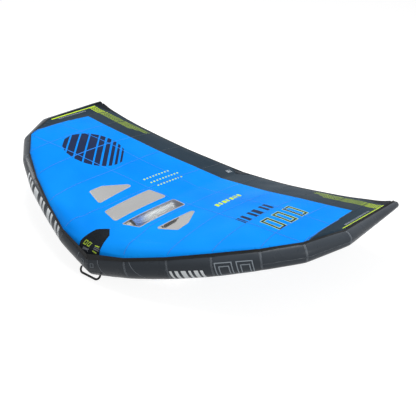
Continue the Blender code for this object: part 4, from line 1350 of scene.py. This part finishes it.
def rounded_end(ring, outward):
    """Two smaller rings that round off the end of the strap."""
    centre = sum(ring, Vector()) / len(ring)
    heading = (ring[0] - centre).cross(ring[len(ring) // 4] - centre).normalized()
    heading *= math.copysign(1.0, heading.dot(outward)) * nose_strap_thick
    return [[centre + (point - centre) * share + heading * (1.0 - share) for point in ring]
            for share in nose_strap_end_shares]


spot = between(*tube[:2], nose_strap_half / (tube[1].centre - tube[0].centre).length)
seat = spot.centre + turned(spot.out, spot.up, nose_strap_turn) * (spot.radius + hinge_gap + strap_radius)
down = Vector((0.0, -math.cos(nose_strap_lean), -math.sin(nose_strap_lean)))
across = down.cross(Vector((1.0, 0.0, 0.0))).normalized() * nose_strap_thick
path = rounded_path(flipped(seat, -1), seat, nose_strap_drop, nose_strap_corner, down)
rings = [circle(point, across, run.cross(across).normalized() * nose_strap_high, 1.0, strap_sides)
         for point, run in zip(path, headings(path))]
rings = rounded_end(rings[0], path[0] - path[1])[::-1] + rings + rounded_end(rings[-1], path[-1] - path[-2])
skin_piece("nose_loop", [rings], webbing, "webbing_black", "nose_handle", body="nose_strap")

# Bladders, valves, leash loop and zip
# The bladders are thin milky film, unseen inside their casings. The valves are moulded plastic
# with screw caps, the leash loop is webbing, and the zip closes the strut's tail.
bladder_film = cloth_material("bladder_film", (0.62, 0.64, 0.64), (0.72, 0.74, 0.74), 0.3, 0.05, 300.0)
valve_plastic = cloth_material("valve_plastic", (0.014, 0.014, 0.016), (0.024, 0.024, 0.026), 0.4, 0.05)
cap_plastic = cloth_material("cap_plastic", (0.10, 0.11, 0.12), (0.14, 0.15, 0.16), 0.4, 0.05)
zip_tape = cloth_material("zip_tape", (0.012, 0.012, 0.014), (0.02, 0.02, 0.022), 0.6, 0.5)
slider_metal = cloth_material("slider_metal", (0.42, 0.42, 0.43), (0.52, 0.52, 0.52), 0.32, 0.05)
slider_metal.node_tree.nodes["Principled BSDF"].inputs["Metallic"].default_value = 0.95
node_materials = {"le_bladder": bladder_film, "strut_bladder": bladder_film, "edge_valve": valve_plastic,
                  "strut_valve": valve_plastic, "edge_valve_cap": cap_plastic, "strut_valve_cap": cap_plastic,
                  "leash_loop": webbing, "strut_zip": zip_tape, "zip_slider": slider_metal}
for node, material in node_materials.items():
    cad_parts[node].data.materials[0] = material

# Seams
# The panels are joined by flat seams with a narrow tape, sewn through with a zigzag of thread.
# The casing's sleeves have two rows of thread at each ring seam, and a taped seam along the front.
seam_tape = (0.009, 0.0006, 0.0005)
seam_step = 0.02
seam_steps = 80
seam_keep_off = 0.004
hem_keep_off = 0.002
zone_edge_steps = 20
stitch_spacing = 0.006
stitch_length = 0.0052
stitch_thickness = 0.0009
stitch_sink_share = 0.3
zigzag = 0.6
seam_blue = cloth_material("seam_blue", (0.010, 0.185, 0.68), (0.018, 0.225, 0.75), relief=0.2, shine=0.02)
seam_grey = cloth_material("seam_grey", (0.026, 0.038, 0.052), (0.036, 0.051, 0.067), relief=0.2, shine=0.03)
panel_seam_shares = (
    ((0.0, 0.1, 0.15, 0.22, 0.8, 1.0), (0.30, 0.26, 0.25, 0.225, 0.215, 0.22)),
    ((0.0, 0.12, 0.4, 0.55, 0.8, 1.0), (0.594, 0.585, 0.56, 0.575, 0.60, 0.61)),
    ((0.0, 0.25, 0.55, 0.8, 1.0), (0.878, 0.87, 0.88, 0.89, 0.90)),
    ((0.0, 0.18, 0.5, 0.75, 1.0), (1.156, 1.145, 1.165, 1.18, 1.19)),
    ((0.0, 0.31, 0.63, 0.82, 1.0), (1.371, 1.385, 1.395, 1.395, 1.395)),
)
cross_seams = (
    ((0.0, 0.19, 0.41, 0.6, 0.8, 1.14, 1.36), (0.958, 0.940, 0.905, 0.85, 0.795, 0.724, 0.705)),
    ((0.0, 0.3, 0.538, 0.836, 1.17, 1.45), (1.32, 1.30, 1.24, 1.178, 1.10, 1.05)),
)


def thread_material(name, low, high):
    return cloth_material(name, low, high, relief=0.5, threads=2500.0, sheen=0.2)


pale_thread = thread_material("pale_thread", (0.28, 0.31, 0.34), (0.40, 0.43, 0.46))
blue_thread = thread_material("blue_thread", (0.09, 0.22, 0.60), (0.14, 0.29, 0.70))
grey_thread = thread_material("grey_thread", (0.07, 0.09, 0.11), (0.11, 0.13, 0.15))


def stitch_tree():
    """Threads laid along the edges of a mesh, on the side that its attribute up points to."""
    inputs = (("Path", "Geometry", None), ("Spacing", "Float", stitch_spacing),
              ("Length", "Float", stitch_length), ("Thickness", "Float", stitch_thickness),
              ("Slant", "Float", 0.0), ("Thread", "Material", None))
    tree, given = new_group("stitches", inputs, "GeometryNodeTree")
    curve = add_node(tree, "GeometryNodeMeshToCurve", given["Path"])
    spaced = add_node(tree, "GeometryNodeResampleCurve", mode="LENGTH", Curve=curve, Length=given["Spacing"])
    thread = add_node(tree, "GeometryNodeMeshCylinder", Vertices=6, Depth=given["Length"],
                      Radius=maths(tree, "MULTIPLY", given["Thickness"], 0.5))
    tangent = add_node(tree, "GeometryNodeInputTangent")
    up = add_node(tree, "GeometryNodeInputNamedAttribute", data_type="FLOAT_VECTOR", Name="up")
    laid = add_node(tree, "FunctionNodeAxesToRotation", primary_axis="Z", secondary_axis="X",
                    Primary_Axis=tangent, Secondary_Axis=up)
    odd = maths(tree, "MODULO", add_node(tree, "GeometryNodeInputIndex"), 2.0)
    angle = maths(tree, "MULTIPLY", maths(tree, "MULTIPLY_ADD", odd, 2.0, -1.0), given["Slant"])
    slant = add_node(tree, "FunctionNodeAxisAngleToRotation", Axis=(1.0, 0.0, 0.0), Angle=angle)
    both = add_node(tree, "FunctionNodeRotateRotation", laid, slant, rotation_space="LOCAL")
    place = add_node(tree, "GeometryNodeInstanceOnPoints", Points=spaced, Instance=thread, Rotation=both)
    real = add_node(tree, "GeometryNodeRealizeInstances", place)
    paint = add_node(tree, "GeometryNodeSetMaterial", Geometry=real, Material=given["Thread"])
    return finish_group(tree, "Stitches", "Geometry", paint)


stitches = stitch_tree()
stitch_inputs = {item.name: item.identifier for item in stitches.interface.items_tree
                 if item.in_out == "INPUT"}


def sew(name, paths, material, slot, slant=0.0):
    """Sew along paths, each a list of places in the wing's measures and the directions off the cloth."""
    points = []
    edges = []
    ups = []
    for path in paths:
        edges += [(len(points) + index, len(points) + index + 1) for index in range(len(path) - 1)]
        points += [place + wing_place for place, up in path]
        ups += [value for place, up in path for value in up]
    mesh = bpy.data.meshes.new(name)
    mesh.from_pydata(points, edges, [])
    mesh.attributes.new("up", "FLOAT_VECTOR", "POINT").data.foreach_set("vector", ups)
    piece = new_object(name, mesh)
    sewing = piece.modifiers.new("stitches", "NODES")
    sewing.node_group = stitches
    sewing[stitch_inputs["Slant"]] = slant
    sewing[stitch_inputs["Thread"]] = material
    finished = bpy.data.meshes.new_from_object(piece.evaluated_get(bpy.context.evaluated_depsgraph_get()))
    piece.modifiers.clear()
    piece.data = finished
    finished.name = name
    finished.shade_smooth()
    return dress(piece, "wing", slot)


def panel_seam(shares, places):
    """Plan of a seam that runs from the leading edge to the trailing edge."""
    line = []
    for share in spread(0.0, 1.0, seam_steps):
        x = eased_along(shares, places, share)
        line.append((x, front_line(x) + share * (rear_line(x) - front_line(x))))
    return line


def cross_seam(stations, places):
    """Plan of a seam that runs along the span, from the centre to where it meets the tip panel."""
    row = spread(0.0, stations[-1], math.ceil(stations[-1] / seam_step))
    return [(x, eased_along(stations, places, x)) for x in row]


def ribbon(point_at, width, rise, thickness):
    """Section of a flat tape: across its upper side and back along its underside."""
    offsets = [share * width for share in (-0.5, 0.0, 0.5)]
    return [point_at(offset, rise) for offset in offsets] + [
        point_at(offset, rise - thickness) for offset in reversed(offsets)]


def tape_rings(line):
    """Sections of a flat tape that follows a line in the plan."""
    return [ribbon(lambda offset, lift: canopy_point(x + run.y * offset, y - run.x * offset, lift),
                   *seam_tape) for (x, y), run in zip(line, headings(line))]


def sewn_line(line, lift=seam_tape[1]):
    """A row of thread along a line in the plan."""
    lift += stitch_thickness * stitch_sink_share
    return [(canopy_point(x, y, lift), canopy_normal(x, y)) for x, y in line]


def split_line(line, keep):
    """The runs of a line whose points pass a test."""
    runs = [[]]
    for point in line:
        if keep(*point):
            runs[-1].append(point)
        else:
            runs.append([])
    return [run for run in runs if len(run) > 1]


def on_blue(x, y):
    return abs(x) < tip_x and front_line(x) + seam_keep_off < y < band_line(x)


def on_band(x, y):
    start = max(band_line(x), front_line(x) + seam_keep_off)
    return abs(x) < half_span and start < y < rear_line(x) - hem_keep_off


def straight_line(start, end, steps):
    return list(zip(*(spread(low, high, steps) for low, high in zip(start, end))))


half_lines = [panel_seam(*shares) for shares in panel_seam_shares]
half_lines += [cross_seam(*seam) for seam in cross_seams]
lines = []
for line in half_lines:
    lines += [line, [(-x, y) for x, y in line]]
lines.append(straight_line((0.0, nose_patch_length), (0.0, tail_front), seam_steps))
zone_edges = [band_points] + [
    straight_line((x, front_line(x)), (x, band_line(x)), zone_edge_steps) for x in (tip_x, -tip_x)]
blue_runs = [run for line in lines for run in split_line(line, on_blue)]
dark_runs = [run for line in lines for run in split_line(line, on_band)]
for label, runs, tape, thread, slot in (("blue", blue_runs, seam_blue, blue_thread, "canopy_blue"),
                                        ("dark", dark_runs, seam_grey, grey_thread, "band_slate"),
                                        ("zone", zone_edges, seam_grey, grey_thread, "band_slate")):
    skin_piece(f"seam_tapes_{label}", [tape_rings(run) for run in runs], tape, slot)
    sew(f"seam_stitches_{label}", [sewn_line(run) for run in runs], thread, slot, zigzag)

ring_seam_offset = 0.006
ring_seam_rise = 0.0002
ring_tape = (0.005, 0.0006, 0.0004)
ring_steps = 72
ring_degrees = spread(0.0, 360.0, ring_steps)
front_seam_degrees = 5.0
front_seam_start = 4
front_seam_steps = 120
front_tape = (0.009, 0.0007, 0.0006)
front_thread_rise = 0.001
tape_grey = cloth_material("tape_grey", (0.11, 0.13, 0.15), (0.15, 0.17, 0.20), relief=0.2)


def sleeve_length(panel):
    return (tube[panel + 1].centre - tube[panel].centre).length


def tube_spot(position):
    """The tube at a position, which counts its seams from the nose with the part of the way to the next."""
    index = min(int(position), panel_count - 1)
    return between(tube[index], tube[index + 1], position - index), index


def tube_point(position, degrees, rise):
    """A point on the casing, and the direction off it."""
    spot, index = tube_spot(position)
    share = position - index
    off = turned(spot.out, spot.up, math.radians(degrees))
    radius = drawn_radius(spot.radius, sleeve_length(index) * min(share, 1.0 - share)) + rise
    return spot.centre + off * radius, off.normalized()


def both_sides(row):
    """A row of thread on the right side of the casing, and its mirror image."""
    return [[(flipped(place, side), flipped(up, side)) for place, up in row] for side in (1, -1)]


def across_tape(position, degrees):
    """Points across a tape that runs round the casing, by their offset along it."""
    def point_at(offset, rise):
        whole = position == int(position) and offset < 0
        panel = int(position) - 1 if whole else min(int(position), panel_count - 1)
        return tube_point(position + offset / sleeve_length(panel), degrees, rise)[0]
    return point_at


def casing_tape(row, side):
    """A narrow tape along a row of positions and angles on the casing."""
    return [mirrored(ribbon(across_tape(*place), *ring_tape), side) for place in row]


def front_ring(position):
    """Section of the tape along the front of the casing."""
    turn = math.degrees(1.0 / tube_spot(position)[0].radius)
    return ribbon(lambda offset, rise: tube_point(position, front_seam_degrees + offset * turn, rise)[0],
                  *front_tape)


casing_paths = []
for index in range(panel_count + 1):
    for shift in (-ring_seam_offset, ring_seam_offset):
        panel = index - 1 if shift < 0 else index
        if 0 <= panel < panel_count:
            position = index + shift / sleeve_length(panel)
            casing_paths += both_sides([tube_point(position, turn, ring_seam_rise) for turn in ring_degrees])
sew("casing_stitches", casing_paths, pale_thread, "edge_charcoal")
ring_rows = [casing_tape([(index, turn) for turn in ring_degrees[:-1]], side)
             for index in range(1, panel_count) for side in (1, -1)]
skin_piece("casing_ring_tapes", ring_rows, tape_grey, "edge_charcoal", wrap=True)
front_places = spread(front_seam_start, panel_count, front_seam_steps)
front_rings = [front_ring(position) for position in front_places]
front_rows = [[mirrored(ring, side) for ring in front_rings] for side in (1, -1)]
skin_piece("casing_front_tapes", front_rows, casing_cloth, "edge_charcoal")
front_thread = [tube_point(position, front_seam_degrees, front_thread_rise) for position in front_places]
sew("casing_front_stitches", both_sides(front_thread), pale_thread, "edge_charcoal", zigzag)

# Marks on the casing
# Pale bars printed on the casing, solid and in outline, and the curved seams at the nose.
mark_rise = 0.0005
mark_thickness = 0.0004
mark_step = 4.0
right_bars = ((2.09, 0.055), (2.21, 0.075), (2.35, 0.11), (2.52, 0.055), (2.64, 0.09), (2.78, 0.06))
right_bar_form = (-54.0, 3.0, -0.05)
left_bars = ((1.08, 0.09), (1.26, 0.09), (1.52, 0.09), (1.68, 0.16), (2.02, 0.09), (2.18, 0.12), (2.46, 0.24),
             (2.84, 0.09), (3.02, 0.07), (3.2, 0.08))
left_bar_form = (-22.0, 37.0, 0.12)
tip_bars = ((6.28, 0.035), (6.40, 0.035), (6.52, 0.035))
tip_bar_form = (-36.0, -10.0, 0.02)
right_frames = ((3.08, 0.36), (3.52, 0.34))
outer_frame_form = (-52.0, 32.0, 0.007, -0.03)
inner_frame_form = (-36.0, 16.0, 0.007, -0.018)
inner_frame_inset = 0.07
nose_frame = (0.10, 0.09, -4.0, 10.0, 0.003, 0.0)
white_print = print_material("white_print", (0.86, 0.91, 0.94), (0.92, 0.96, 0.98), 0.1)
grey_print = print_material("grey_print", (0.26, 0.30, 0.34), (0.32, 0.36, 0.40), 0.1)


def casing_bar(side, start, wide, low, high, lean):
    """A printed bar on the casing: its start and width along the seams, and its angles round the tube."""
    count = max(2, math.ceil((high - low) / mark_step))
    start += wide / 2
    rings = []
    for middle, degrees in zip(spread(start, start + lean, count), spread(low, high, count)):
        ring = ribbon(lambda offset, rise: tube_point(middle + offset, degrees, rise)[0], wide, mark_rise,
                      mark_thickness)
        rings.append(mirrored(ring, side))
    return rings


def casing_frame(side, start, wide, low, high, line, lean):
    """The four strokes of a printed bar in outline."""
    band = math.degrees(line / tube[int(start)].radius)
    stroke = line / sleeve_length(int(start))
    lean_step = lean * band / (high - low)
    return [casing_bar(side, start, stroke, low, high, lean),
            casing_bar(side, start + wide - stroke, stroke, low, high, lean),
            casing_bar(side, start, wide, low, low + band, lean_step),
            casing_bar(side, start + lean - lean_step, wide, high - band, high, lean_step)]


bars = [casing_bar(1, *bar, *right_bar_form) for bar in right_bars]
bars += [casing_bar(-1, *bar, *left_bar_form) for bar in left_bars]
skin_piece("casing_bars", bars, white_print, "edge_charcoal")
outlines = []
for start, wide in right_frames:
    outlines += casing_frame(1, start, wide, *outer_frame_form)
    outlines += casing_frame(1, start + inner_frame_inset, wide - 2 * inner_frame_inset, *inner_frame_form)
outlines += [casing_bar(1, *bar, *tip_bar_form) for bar in tip_bars]
outlines += casing_frame(1, *nose_frame) + casing_frame(-1, *nose_frame)
skin_piece("casing_outlines", outlines, grey_print, "edge_charcoal")

nose_seams = (((0.29, 24.0), (0.33, 4.0), (0.40, -20.0), (0.52, -48.0), (0.72, -80.0)),
              ((1.13, 27.0), (1.17, 12.0), (1.26, -8.0), (1.42, -36.0), (1.66, -70.0)))
nose_seam_steps = 60
nose_thread_front = 0.012
nose_thread_end = 0.006
nose_thread_steps = 40
tapes = []
paths = []
for seam in nose_seams:
    places, turns = zip(*seam)
    spots = spread(places[0], places[-1], nose_seam_steps)
    row = [(spot, eased_along(places, turns, spot)) for spot in spots]
    tapes += [casing_tape(row, side) for side in (1, -1)]
    paths += both_sides([tube_point(*place, ring_tape[1] + ring_seam_rise) for place in row])
skin_piece("nose_seam_tapes", tapes, tape_grey, "edge_charcoal")
sew("nose_seam_stitches", paths, pale_thread, "edge_charcoal")
patch_end = (0.0, nose_patch_length - nose_thread_end)
patch_line = straight_line((0.0, nose_thread_front), patch_end, nose_thread_steps)
sew("nose_patch_stitches", [sewn_line(patch_line, patch_lift)], pale_thread, "webbing_black")
